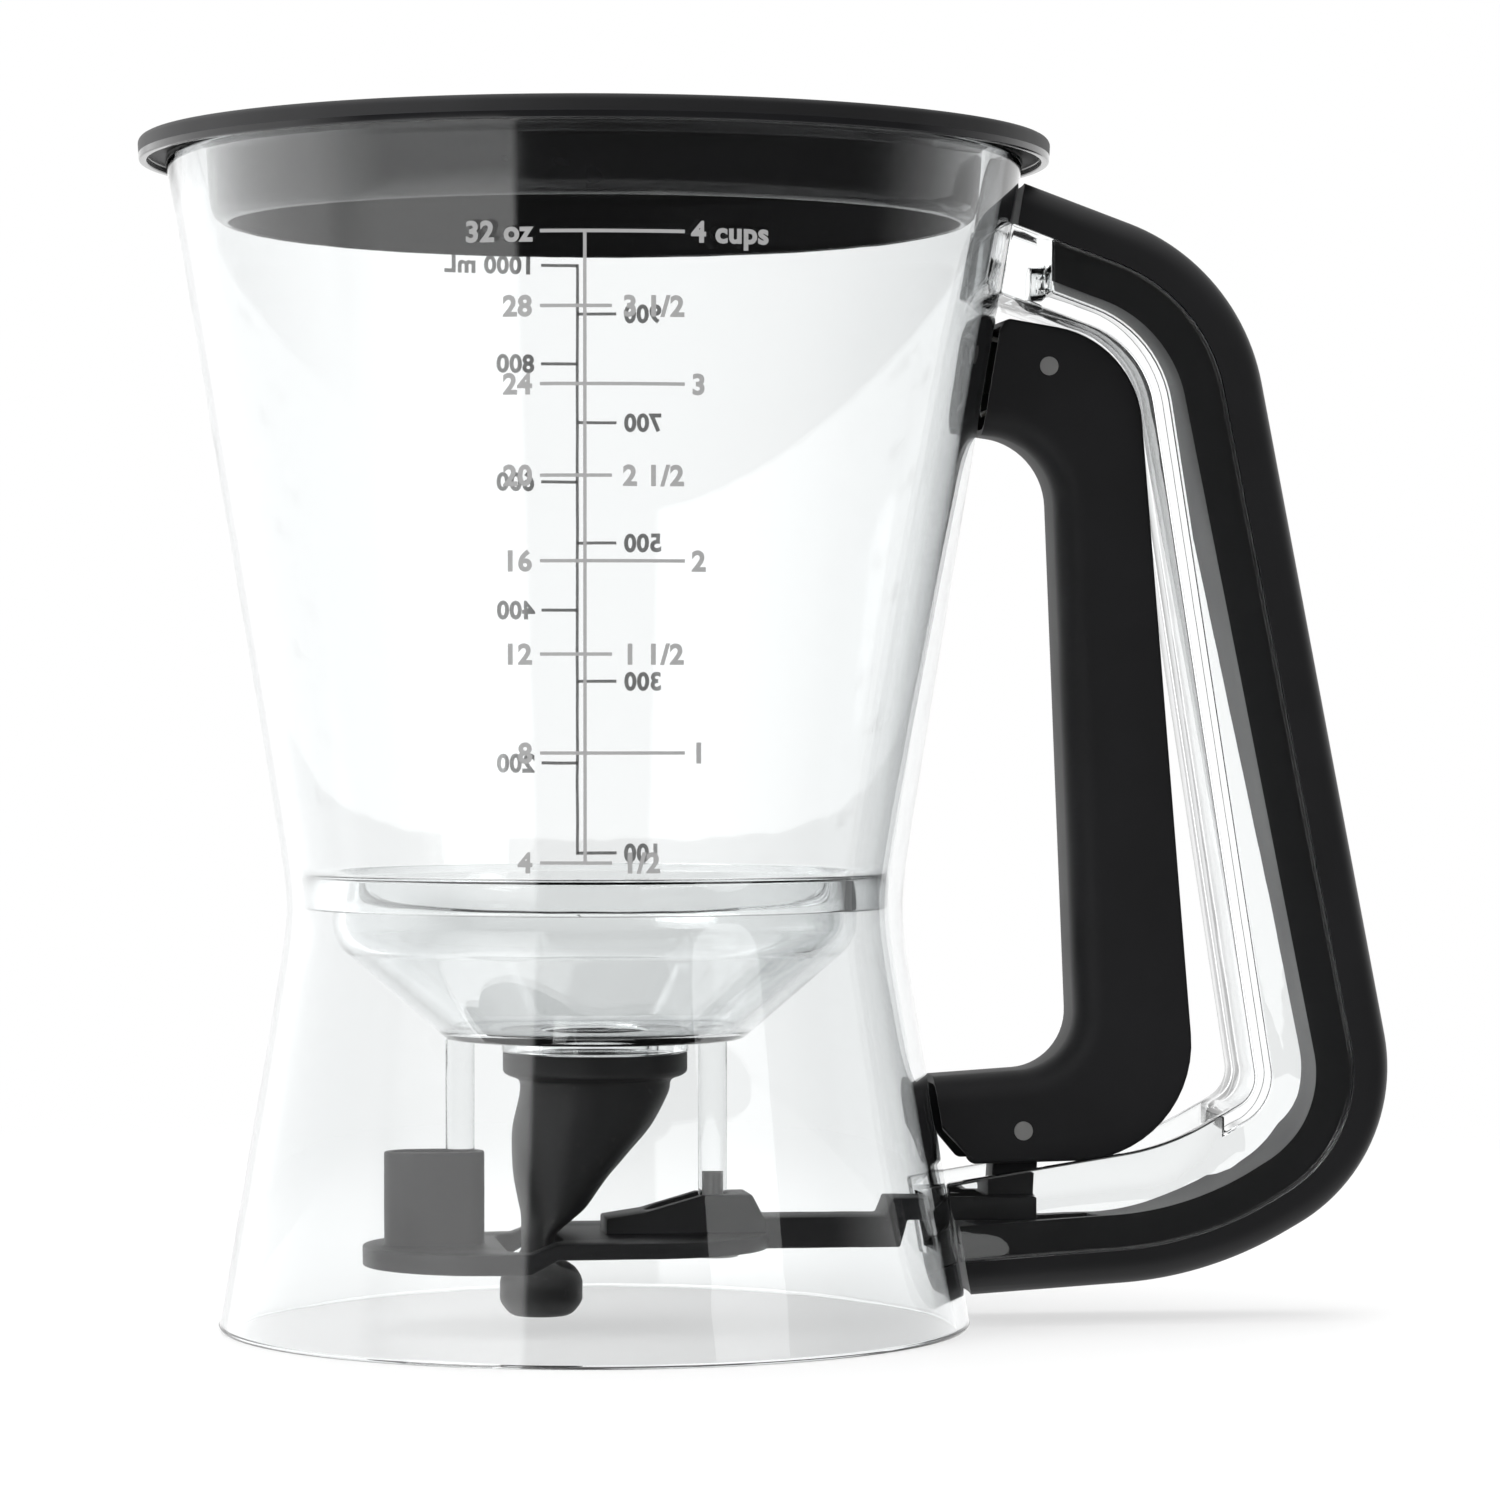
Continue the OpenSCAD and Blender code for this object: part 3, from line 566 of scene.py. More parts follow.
@dataclass(frozen=True)
class PrintInk(Coating):
    """Grey pad-printed ink: flat, with the slight mottle of a thin film that light gets through."""

    patch: float = 0.8 * MM
    colour: str = "#B2B2B2"
    thin: str = "#BDBDBD"
    roughness: float = 0.6
    shine: float = 0.2
    lets_through: float = 0.3

    def shader(self, tree: NodeTree, where: NodeSocket, patches: Node, normal: Node) -> Node:
        """Flat film, and the light that comes through it."""
        tint = add_node(tree, "ShaderNodeMix", {
            0: patches, 6: srgb(self.colour), 7: srgb(self.thin)}, data_type="RGBA").outputs[2]
        film = add_node(tree, "ShaderNodeBsdfPrincipled", {
            "Base Color": tint, "Roughness": self.roughness, "Specular IOR Level": self.shine})
        through = add_node(tree, "ShaderNodeBsdfTranslucent", {"Color": tint})
        return add_node(tree, "ShaderNodeMixShader", {0: self.lets_through, 1: film, 2: through})


@dataclass(frozen=True)
class Paper(Coating):
    """White paper that fades into the white surround away from the part.

    A ray that has met a glossy face passes through it, so that clear walls and
    black plastic show the surround alone.
    """

    colour: str = "#F7F7F7"
    surround: str = "#FFFFFF"
    glow_near: float = 0.62
    fade_start: float = 140 * MM
    fade_end: float = 420 * MM

    def shader(self, tree: NodeTree, where: NodeSocket, patches: Node, normal: Node) -> Node:
        """Paper that glows as the surround does, more with the distance."""
        distance = add_node(tree, "ShaderNodeVectorMath", {0: where}, operation="LENGTH")
        fade = add_node(tree, "ShaderNodeMapRange", {
            "Value": distance.outputs["Value"], "From Min": self.fade_start,
            "From Max": self.fade_end, "To Min": self.glow_near}, interpolation_type="SMOOTHSTEP")
        paper = add_node(tree, "ShaderNodeBsdfDiffuse", {"Color": srgb(self.colour)})
        white = add_node(tree, "ShaderNodeEmission", {"Color": srgb(self.surround), "Strength": 1.0})
        lit = add_node(tree, "ShaderNodeMixShader", {0: fade, 1: paper, 2: white})
        bounces = add_node(tree, "ShaderNodeLightPath").outputs["Glossy Depth"]
        mirrored = add_node(tree, "ShaderNodeMath", {0: bounces, 1: 0.5}, operation="GREATER_THAN")
        gone = add_node(tree, "ShaderNodeBsdfTransparent")
        return add_node(tree, "ShaderNodeMixShader", {0: mirrored, 1: lit, 2: gone})


class Finish(Enum):
    """Every finish in the scene."""

    CLEAR_BODY = ClearPlastic("clear_styrene_body")
    # The handle's edge grey is a darker painted shade where its surfaces turn edge on.
    CLEAR_HANDLE = ClearPlastic("clear_styrene_handle", edge="#8E9497", lump=6 * MM,
                                lump_depth=0.03 * MM)
    LID = BlackPlastic("black_polypropylene_lid", colour="#121213", roughness=0.55, shine=0.4,
                       polished_under=JUG.rim_z - 0.05 * MM)
    GRIP = BlackPlastic("black_soft_grip", colour="#121213", roughness=0.45, shine=0.35)
    TRIGGER = BlackPlastic("black_polypropylene_trigger", colour="#151516", roughness=0.52)
    ARM = BlackPlastic("black_polypropylene_arm", colour="#141415", roughness=0.5)
    NOZZLE = Silicone("black_silicone_nozzle")
    STEEL = Steel("tumbled_steel_pins")
    FRONT_INK = PrintInk("grey_scale_ink_front")
    BACK_INK = PrintInk("grey_scale_ink_back", lets_through=0.8)
    FLOOR = Paper("white_sweep")

    @property
    def material(self) -> Material:
        """The finish's material, made once."""
        return bpy.data.materials.get(self.value.name) or self.value.build()


# ---- shared cutters ----

def wall_line(top: float, inward: float, rows: int = 20) -> list[Point]:
    """Line of the jug's or skirt's wall from the waist to a height, moved inwards."""
    heights = [JUG.waist_z + (top - JUG.waist_z) * (i / rows) ** 2 for i in range(rows + 1)]
    return [(JUG.radius(z) - inward, z) for z in heights]


def jug_space() -> Object:
    """Make a solid that fills the jug and skirt and the gap round them, to cut other pieces clear."""
    low, top = -JUG_GAP, JUG.rim_z + JUG_GAP
    return lathe("jug_space", [
        (0.0, low), (JUG.radius(0) + JUG_GAP, low), *wall_line(0, -JUG_GAP)[::-1],
        *wall_line(JUG.rim_z, -JUG_GAP)[1:], (JUG.rim_r + JUG_GAP, top), (0.0, top)])


def solid(name: str, outline: Sequence[Point], width: float) -> Object:
    """Prism across the handle as an object."""
    return finish_mesh(prism(outline, width), name)


def block(name: str, low: Point, high: Point, width: float) -> Object:
    """Block between two corners in X and Z, centred on Y = 0."""
    return solid(name, [low, (high[0], low[1]), high, (low[0], high[1])], width)


def pin_hole(axis: Point, width: float) -> Object:
    """Make a cylinder along Y that cuts a pin's hole.

    Args:
        axis: X and Z of the pin.
        width: its length, centred on Y = 0.
    Returns:
        The cylinder.
    """
    bm = bmesh.new()
    turn = Matrix.Translation((axis[0], 0.0, axis[1])) @ Matrix.Rotation(math.pi / 2, 4, "X")
    bmesh.ops.create_cone(bm, cap_ends=True, segments=48, radius1=PIN_R, radius2=PIN_R,
                          depth=width, matrix=turn)
    return finish_mesh(bm, "pin_hole")


# ---- sub-assemblies ----

@dataclass
class Vessel:
    """The clear jug on its skirt, with the lug for the trigger and the funnel inside."""

    rim_round: float = 0.9 * MM
    foot_round: float = 0.7 * MM
    lug_radius: float = 4.0 * MM
    lug_width: float = 4.4 * MM
    lug_round: float = 0.4 * MM
    window_low: Point = (40.6 * MM, 11.4 * MM)
    window_high: Point = (59.1 * MM, 20.2 * MM)
    window_width: float = 10.8 * MM

    def rim(self) -> list[Point]:
        """Rounded top of the wall."""
        r, top, outer = self.rim_round, JUG.rim_z, JUG.rim_r
        return [*arc((outer - r, top - r), r, 0, 90, 5),
                *arc((outer - JUG.wall + r, top - r), r, 90, 180, 5)]

    def foot(self) -> list[Point]:
        """Rounded foot of the skirt, from inside to outside."""
        r, outer = self.foot_round, JUG.radius(0)
        return [*arc((outer - JUG.wall + r, r), r, 180, 270, 5), *arc((outer - r, r), r, 270, 360, 5)]

    def lug(self) -> Object:
        """Rounded lug that stands out of the jug's wall and holds the hinge pin."""
        (x, z), r = HINGE, self.lug_radius
        root = JUG.radius(z) - JUG.wall / 2
        line = [(root, z - r), *arc((x, z), r, -90, 90, 16), (root, z + r)]
        bm = prism(line, self.lug_width)
        round_edges(bm, rim_of(bm, self.lug_width, line), self.lug_round, segments=3)
        return finish_mesh(bm, "lug")

    def shell(self) -> Object:
        """Jug, skirt and lug in one, with the arm's window."""
        up, inner_up = (wall_line(JUG.rim_z - self.rim_round, depth) for depth in (0, JUG.wall))
        down, inner_down = (wall_line(self.foot_round, depth) for depth in (0, JUG.wall))
        shell = lathe("clear_shell", [*down[:0:-1], *up[:-1], *self.rim(), *inner_up[-2::-1],
                                      *inner_down[1:-1], *self.foot()])
        combine(shell, [self.lug()], "UNION")
        combine(shell, [pin_hole(HINGE, 2 * self.lug_width),
                        block("window", self.window_low, self.window_high, self.window_width)])
        return shell

    def build(self) -> None:
        """Make the shell and the funnel."""
        place(self.shell(), ROOT, "clear_body", Finish.CLEAR_BODY.material, "jug", "skirt")
        place(Funnel().bowl(), ROOT, "clear_body", Finish.CLEAR_BODY.material, "funnel_bowl")


@dataclass
class Funnel:
    """The bowl that closes the jug's floor and ends in the spout."""

    ledge_r: float = 45.35 * MM
    ledge_h: float = 5.6 * MM
    bowl_r: float = 40.6 * MM
    floor_r: float = 23 * MM
    floor_z: float = 44.5 * MM
    wall: float = 2 * MM
    shoulder: float = 7 * MM
    shoulder_drop: float = 2 * MM
    slope: float = 41.0
    collar: Point = (14.5 * MM, 2.1 * MM)
    spout: Point = (10 * MM, 4.4 * MM)
    bore: float = 8.2 * MM
    chamfer: float = 1.1 * MM

    def bowl(self) -> Object:
        """Turn the bowl's section."""
        middle = (self.bowl_r - self.shoulder, JUG.waist_z - self.shoulder_drop)
        ledge_z = JUG.waist_z + self.ledge_h
        collar_z = self.floor_z - self.collar[1]
        spout_z = collar_z - self.spout[1]
        inner_z = self.floor_z + self.wall
        inner_floor_r = self.floor_r - self.wall * math.tan(math.radians(self.slope / 2))
        mouth = self.bowl_r - self.wall
        outer = arc(middle, self.shoulder, self.slope - 90, 0, 10)
        inner = arc(middle, self.shoulder - self.wall, 0, self.slope - 90, 10)
        return lathe("clear_funnel", soft_section([
            (self.bore, spout_z, 0), (self.spout[0], spout_z, 0.4), (self.spout[0], collar_z, 0.3),
            (self.collar[0], collar_z, 0.4), (self.collar[0], self.floor_z, 0.3),
            (self.floor_r, self.floor_z, 2.0), *((r, z, 0) for r, z in outer),
            (self.bowl_r, JUG.waist_z, 0), (self.ledge_r, JUG.waist_z, 0.6),
            (self.ledge_r, ledge_z, 0.4), (mouth + self.chamfer, ledge_z, 0.5),
            (mouth, ledge_z - self.chamfer, 0.5), *((r, z, 0) for r, z in inner),
            (inner_floor_r, inner_z, 3.0), (self.bore, inner_z, 0.6)], steps=4))


@dataclass
class Lid:
    """The black lid: a plate with a down-turned lip and a plug inside the jug."""

    seat: float = 0.1 * MM
    radius: float = 70.4 * MM
    thick: float = 2.3 * MM
    lip_h: float = 3.5 * MM
    lip_t: float = 1.4 * MM
    lip_taper: float = 0.2 * MM
    neck_r: float = 61.4 * MM
    neck_h: float = 2.2 * MM
    plug_r: float = 59.6 * MM
    plug_h: float = 10.8 * MM
    plug_wall: float = 2 * MM
    plug_taper: float = 0.6 * MM
    plug_foot: Point = (0.8 * MM, 1.2 * MM)
    dish: float = 0.6 * MM
    dish_edge: Point = (3.4 * MM, 4.6 * MM)

    def build(self) -> None:
        """Turn the lid."""
        base = JUG.rim_z + self.seat
        top, foot, neck_z = base + self.thick, base - self.plug_h, base - self.neck_h
        low_r, inner_r = self.plug_r - self.plug_taper, self.radius - self.lip_t
        hollow_r = low_r - self.plug_wall
        lip_z, dish_z = top - self.lip_h, top - self.dish
        section = soft_section([
            (0, base, 0), (self.neck_r - self.plug_wall, base, 0.8),
            (self.plug_r - self.plug_wall, neck_z, 0.4), (hollow_r, foot + self.plug_foot[1], 0.6),
            (hollow_r - self.plug_foot[0], foot, 0.3), (low_r, foot, 2.6), (self.plug_r, neck_z, 0.4),
            (self.neck_r, base - self.neck_h / 2, 0.6), (self.neck_r, base, 0.4),
            (inner_r, base, 0.4), (inner_r, lip_z, 0.2), (self.radius - self.lip_taper, lip_z, 0.3),
            (self.radius, top, 0.9), (self.radius - self.dish_edge[0], top, 0.5),
            (self.radius - self.dish_edge[1], dish_z, 0.5), (0, dish_z, 0)], steps=5)
        place(lathe("black_lid", section, steps=240), "lid", "lid", Finish.LID.material, "lid")


@dataclass
class Handle:
    """The clear channel of the handle with the black grip in it."""

    width: float = 22 * MM
    corners: tuple[Point, ...] = (
        (JUG.radius(177.4 * MM), 177.4 * MM), (100.3 * MM, 164.8 * MM), (127.4 * MM, 24.9 * MM),
        (95.4 * MM, 7 * MM), (JUG.radius(4.6 * MM), 4.6 * MM))
    radii: tuple[float, ...] = (33 * MM, 28 * MM, 60 * MM)
    least_radius: float = 3 * MM
    cap: Point = (6.95 * MM, 5.55 * MM)
    cap_round: float = 4 * MM
    skin: float = 0.08 * MM
    tongue: Point = (13 * MM, 11 * MM)
    tongue_width: float = 16.6 * MM
    tongue_overlap: float = 1 * MM
    root_low: Point = (0.0, 74 * MM)
    root_high: Point = (70.25 * MM, 200 * MM)
    run_on: float = 9 * MM
    groove_low: Point = (47.7 * MM, 15.9 * MM)
    groove_high: Point = (78.8 * MM, 22.7 * MM)
    groove_width: float = 10.2 * MM
    relief_end: float = 58.8 * MM
    relief_width: float = 13.2 * MM
    relief_drop: float = 3.2 * MM
    frame_round: float = 0.5 * MM

    def under(self, top: float, low: float) -> list[Point]:
        """Line at a depth under the grip's outer line.

        Args:
            top: depth along the handle's back.
            low: depth along its underside.
        Returns:
            The rounded line, run on into the jug at both ends.
        """
        mean = (top + low) / 2
        depths = [(top, top), (top, mean), (mean, low), (low, low)]
        line = inset_line(self.corners, depths)
        start, end = Vector(line[0]), Vector(line[-1])
        line[0] = tuple(start + (start - Vector(line[1])).normalized() * self.run_on)
        line[-1] = tuple(end + (end - Vector(line[-2])).normalized() * self.run_on)
        radii = [max(self.least_radius, r - max(depths[i][1], depths[i + 1][0]))
                 for i, r in enumerate(self.radii)]
        return rounded(line, [0.0, *radii, 0.0], steps=24, closed=False)

    def grip(self) -> Object:
        """Make the black grip: a cap with rounded edges over a tongue."""
        outer = self.under(self.skin, self.skin)
        bm = prism([*outer, *self.under(*self.cap)[::-1]], self.width)
        round_edges(bm, rim_of(bm, self.width, outer), self.cap_round, segments=7)
        grip = finish_mesh(bm, "black_grip")
        inner = self.under(*(depth - self.tongue_overlap for depth in self.cap))
        tongue = solid("tongue", [*inner, *self.under(*self.tongue)[::-1]], self.tongue_width)
        combine(tongue, [block("root", self.root_low, self.root_high, 2 * self.width), jug_space()])
        combine(grip, [jug_space()])
        combine(grip, [tongue], "UNION")
        left, floor = self.groove_low
        combine(grip, [block("groove", self.groove_low, self.groove_high, self.groove_width),
                       block("relief", (left, floor - self.relief_drop),
                             (self.relief_end, self.groove_high[1]), self.relief_width)])
        return grip

    def build(self) -> None:
        """Make the grip and the clear frame round it."""
        place(self.grip(), ROOT, "grip", Finish.GRIP.material, "grip")
        channel = softened("handle_frame", "clear_handle_frame", self.frame_round, segments=4)
        place(channel, ROOT, "clear_handle", Finish.CLEAR_HANDLE.material, "handle_frame")


@dataclass
class Trigger:
    """The black trigger: a hollow blade that hangs from the hinge pin.

    Its corners go round the blade: the head over the hinge pin, the toe by the
    link pin, then up the finger's side to the throat under the hinge pin. They
    are in millimetres from their pin. The hollow runs out of the blade at its
    back, its toe and its throat.
    """

    hinge: Point = HINGE
    link: Point = (66.0 * MM, 30.1 * MM)
    head: tuple[Point, ...] = ((-6.6, 7.4), (13.8, 4.0))
    toe: tuple[Point, ...] = ((28.2, -4.4), (-8.0, -5.1), (-19.0, 8.0), (8.9, 9.8))
    throat: tuple[Point, ...] = ((1.0, -12.1), (-17.0, -9.7))
    radii: tuple[float, ...] = (1.2, 16.0, 18.0, 1.2, 0.0, 9.0, 11.0, 0.0)
    past: float = 20.0
    open_back: Point = (33.8, -36.0)
    open_toe: Point = (-34.4, 8.0)
    open_throat: Point = (-32.0, -10.4)
    width: float = 16 * MM
    wall: float = 1.8 * MM
    roof: float = 1.3 * MM
    finger_round: float = 4.8 * MM
    back_round: float = 0.7 * MM
    rib_count: int = 3
    rib_depth: float = 8 * MM
    rib_thick: float = 1.4 * MM

    @staticmethod
    def by(pin: Point, places: Sequence[Point]) -> list[Point]:
        """Places in millimetres from a pin, as points in metres."""
        return [(pin[0] + x * MM, pin[1] + z * MM) for x, z in places]

    def hollow(self) -> tuple[list[Point], list[Point]]:
        """Work out the hollow's line.

        Returns:
            Its part under the roof and past the back, and its part on the finger's side.
        """
        w, roof, past = self.wall / MM, self.roof / MM, self.past
        (front_x, front_z), (brow_x, brow_z) = self.head
        drop = (front_z - brow_z) / (brow_x - front_x)
        (heel_x, heel_z), (tip_x, tip_z), _, (bend_x, bend_z) = self.toe
        neck_x, neck_z = self.throat[0]
        under_roof = rounded(
            [*self.by(self.hinge, [(front_x - past, front_z + past * drop - roof),
                                   (brow_x - w, brow_z + w * drop - roof), self.open_back]),
             *self.by(self.link, [(heel_x + past, heel_z - past), (tip_x - past, tip_z - past)])],
            [0, (self.radii[1] - w) * MM, 0, 0, 0], steps=12, closed=False)
        finger = rounded(
            [*self.by(self.link, [(self.open_toe[0], self.open_toe[1] - w), (bend_x + w, bend_z - w)]),
             *self.by(self.hinge, [(neck_x + w, neck_z + w),
                                   (self.open_throat[0], self.open_throat[1] + w)])],
            [0, (self.radii[5] + w) * MM, (self.radii[6] - w) * MM, 0], steps=12, closed=False)
        return under_roof, finger

    def ribs(self, bend: Point, neck: Point) -> list[Object]:
        """Make the flat ribs across the hollow, with front corners that follow its rounds.

        Args:
            bend: lower end of the blade's finger side.
            neck: upper end of it.
        Returns:
            The ribs, spaced evenly between the two pins.
        """
        made, width = [], self.width - self.wall
        for i in range(1, self.rib_count + 1):
            low = self.link[1] + (self.hinge[1] - self.link[1]) * i / (self.rib_count + 1)
            down = (neck[1] - low) / (neck[1] - bend[1])
            x, high = neck[0] + (bend[0] - neck[0]) * down + self.wall / 2, low + self.rib_thick
            front = [(x, low), (x, high)]
            bm = prism([*front, (x + self.rib_depth, high), (x + self.rib_depth, low)], width)
            round_edges(bm, rim_of(bm, width, front), self.finger_round - self.wall / 2, segments=5)
            made.append(finish_mesh(bm, "rib"))
        return made

    def build(self) -> None:
        """Make the trigger's shell, ribs and holes."""
        corners = [*self.by(self.hinge, self.head), *self.by(self.link, self.toe),
                   *self.by(self.hinge, self.throat)]
        radii = [radius * MM for radius in self.radii]
        finger = rounded(corners[4:], radii[4:], steps=14, closed=False)
        back = rounded([corners[-1], *corners[:5]], [0, *radii[:5]], steps=14, closed=False)
        bm = prism([*finger, *back[1:-1]], self.width)
        for run, radius, segments in ((finger, self.finger_round, 8), (back, self.back_round, 3)):
            round_edges(bm, rim_of(bm, self.width, run), radius, segments)
        trigger = finish_mesh(bm, "black_trigger")
        combine(trigger, [jug_space()], folded=True)
        under_roof, finger_side = self.hollow()
        inner_width = self.width - 2 * self.wall
        inside = prism([*under_roof, *finger_side], inner_width)
        round_edges(inside, rim_of(inside, inner_width, finger_side), self.finger_round - self.wall,
                    segments=5)
        combine(trigger, [finish_mesh(inside, "hollow")])
        combine(trigger, self.ribs(corners[5], corners[6]), "UNION")
        combine(trigger, [pin_hole(pin, 2 * self.width) for pin in (self.hinge, self.link)])
        place(trigger, "trigger", "trigger", Finish.TRIGGER.material, "trigger")


@dataclass
class Valve:
    """The sliding arm and the soft nozzle that it kinks.

    The nozzle's sections are in millimetres: height, shift along X, and half
    widths along X and Y. It is round at the spout and pinched in the arm's ring.
    """

    centres: tuple[tuple[float, float, float, float], ...] = (
        (42.35, 0, 14.3, 14.3), (39.75, 0, 14.3, 14.3), (38.9, 0, 13.6, 13.6), (38.1, 0, 11.85, 11.85),
        (36, -0.2, 11.5, 11.9), (31, -2.1, 10.7, 12.4), (27, -3.9, 9, 12.9), (23, -5.5, 7.1, 13.4),
        (19, -6.6, 5.2, 13.9), (17.2, -7.5, 3.9, 14.3), (14.8, -8.9, 2.3, 14.6), (11.4, -8.9, 2.3, 14),
        (9.2, -8.4, 5.2, 9.4), (7, -8.4, 6.4, 7), (4.4, -8.4, 6.4, 6.4), (2.6, -8.4, 5.2, 5.2),
        (2, -8.4, 4.2, 4.2))
    wall: float = 1.8
    least_bore: float = 0.35
    spout_r: float = 10.05
    spout_z: float = 38.0
    sides: int = 72
    steps: int = 5
    arm_round: float = 0.3 * MM

    def sections(self) -> list[list[float]]:
        """Add sections between the stated ones, on a smooth curve that keeps between its neighbours.

        Returns:
            All sections, from the top down.
        """
        rows, out = self.centres, []
        for i, (a, b) in enumerate(zip(rows, rows[1:])):
            before, after = rows[max(0, i - 1)], rows[min(len(rows) - 1, i + 2)]
            for t in (k / self.steps for k in range(self.steps)):
                point = []
                for p, q, r, s in zip(before, a, b, after):
                    m0, m1 = (r - p) / 2, (s - q) / 2
                    value = ((2 * t ** 3 - 3 * t ** 2 + 1) * q + (t ** 3 - 2 * t ** 2 + t) * m0
                             + (3 * t ** 2 - 2 * t ** 3) * r + (t ** 3 - t ** 2) * m1)
                    point.append(min(max(value, min(q, r)), max(q, r)))
                out.append(point)
        return out + [list(rows[-1])]

    def nozzle(self) -> Object:
        """Loft the nozzle's outside and bore and close its two ends."""
        outside = self.sections()
        inside = [(z, 0.0, self.spout_r, self.spout_r) if z > self.spout_z
                  else (z, x, *(max(self.least_bore, half - self.wall) for half in (a, b)))
                  for z, x, a, b in outside]
        bm = bmesh.new()
        turns = [math.tau * k / self.sides for k in range(self.sides)]
        loops: list[list[BMEdge]] = []
        for z, x, a, b in [*outside, *inside[::-1]]:
            ring = [bm.verts.new(((x + a * math.cos(t)) * MM, b * math.sin(t) * MM, z * MM))
                    for t in turns]
            loops.append([bm.edges.new(pair) for pair in zip(ring, ring[1:] + ring[:1])])
        for one, two in zip(loops, loops[1:] + loops[:1]):
            bmesh.ops.bridge_loops(bm, edges=[*one, *two])
        return finish_mesh(bm, "soft_nozzle")

    def build(self) -> None:
        """Make the arm and the nozzle."""
        arm = softened("valve_arm", "black_arm", self.arm_round, segments=2)
        place(arm, "arm", "arm", Finish.ARM.material, "valve_arm")
        nozzle = self.nozzle()
        place(nozzle, None, "nozzle", Finish.NOZZLE.material, "nozzle")
        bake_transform(nozzle)


# ---- printed scale ----

class Side(Enum):
    """Which side of the jug a scale is printed on."""

    FRONT = -1
    BACK = 1


@dataclass(frozen=True)
class Reach:
    """Pixel columns of the photograph where a level's stripe ends and its figures start."""

    stripe_px: float
    figures_px: float


@dataclass(frozen=True)
class Level:
    """One level of a scale: its height in millimetres and the figures left and right of it."""

    height: float
    left: str = ""
    right: str = ""
    whole: bool = False


@dataclass(frozen=True)
class PrintedScale:
    """One printed scale: stripes and figures laid on the jug's cone.

    It is seen from the photograph's side, so left and right are the photograph's.
    """

    name: str
    side: Side
    ink: Finish
    spine_px: float
    left: Reach
    right: Reach
    whole_right: Reach
    levels: tuple[Level, ...]
    spine_read_at: float = 120 * MM
    film: float = 0.03 * MM
    lift: float = 0.05 * MM
    stroke: float = 0.5 * MM
    longest_face: float = 2 * MM
    text_h: float = 2.8 * MM
    capital_share: float = 0.69
    boldness: float = 0.055
    spacing: float = 1.06

    def across(self, pixel: float, z: float) -> float:
        """Offset along the print, to its reader's right, of a pixel column of the photograph."""
        depth = VIEW.distance + self.side.value * JUG.radius(z)
        return -self.side.value * (pixel - VIEW.jug_axis_px) / VIEW.focal_px * depth

    def lay(self, flat: Vector) -> Vector:
        """Lay a flat point on the cone.

        Args:
            flat: X along the print, Y up, Z out of it.
        Returns:
            Its place on the jug.
        """
        radius = JUG.radius(flat.y) + self.lift + flat.z
        turn = math.asin(max(-1.0, min(1.0, flat.x / radius)))
        reader_right = VIEW.right * -self.side.value
        outward = VIEW.look * self.side.value
        spot = (reader_right * math.sin(turn) + outward * math.cos(turn)) * radius
        return Vector((spot.x, spot.y, flat.y))

    def stripe(self, bm: BMesh, x0: float, x1: float, z0: float, z1: float) -> None:
        """Add one thin stripe, cut into short faces that can follow the cone.

        Args:
            bm: the flat print.
            x0: its left end.
            x1: its right end.
            z0: its lower end.
            z1: its upper end.
        """
        middle = Matrix.Translation(((x0 + x1) / 2, (z0 + z1) / 2, 0.0))
        size = Matrix.Diagonal((x1 - x0, z1 - z0, 2 * self.film, 1.0))
        verts = set(bmesh.ops.create_cube(bm, size=1.0, matrix=middle @ size)["verts"])
        for axis, length in ((0, x1 - x0), (1, z1 - z0)):
            cuts = int(length / self.longest_face)
            along = [e for e in bm.edges if e.verts[0] in verts and e.verts[1] in verts
                     and abs(e.verts[0].co[axis] - e.verts[1].co[axis]) > length / 2]
            if cuts and along:
                grown = bmesh.ops.subdivide_edges(bm, edges=along, cuts=cuts, use_grid_fill=True)
                verts |= {v for v in grown["geom"] if isinstance(v, BMVert)}

    def words(self, bm: BMesh, text: str, x: float, z: float, align: str) -> None:
        """Add a short text.

        Args:
            bm: the flat print.
            text: what it says.
            x: its left or right end.
            z: height of its middle.
            align: LEFT or RIGHT.
        """
        curve = bpy.data.curves.new("figures", "FONT")
        curve.body, curve.align_x, curve.size = text, align, self.text_h / self.capital_share
        curve.extrude, curve.offset, curve.resolution_u = self.film, self.boldness * self.text_h, 4
        curve.space_character = self.spacing
        carrier = linked("figures", curve)
        bpy.context.view_layer.update()
        mesh = bpy.data.meshes.new_from_object(carrier)
        mesh.transform(Matrix.Translation((x, z - self.text_h / 2, 0.0)))
        bm.from_mesh(mesh)
        bpy.data.objects.remove(carrier)
        bpy.data.meshes.remove(mesh)

    def flat_print(self) -> BMesh:
        """Draw the upright stripe, and each level's stripe and figures, flat."""
        bm = bmesh.new()
        half, x = self.stroke / 2, self.across(self.spine_px, self.spine_read_at)
        self.stripe(bm, x - half, x + half, self.levels[-1].height * MM - half,
                    self.levels[0].height * MM + half)
        aligns = ("RIGHT", "LEFT") if self.side is Side.FRONT else ("LEFT", "RIGHT")
        for level in self.levels:
            z = level.height * MM
            reaches = (self.left, self.whole_right if level.whole else self.right)
            marks = [mark for mark in zip((level.left, level.right), reaches, aligns) if mark[0]]
            columns = [reach.stripe_px for _, reach, _ in marks] + [self.spine_px]
            x0, x1 = sorted(self.across(column, z) for column in columns[:2])
            self.stripe(bm, x0, x1, z - half, z + half)
            for text, reach, align in marks:
                self.words(bm, text, self.across(reach.figures_px, z), z, align)
        return bm

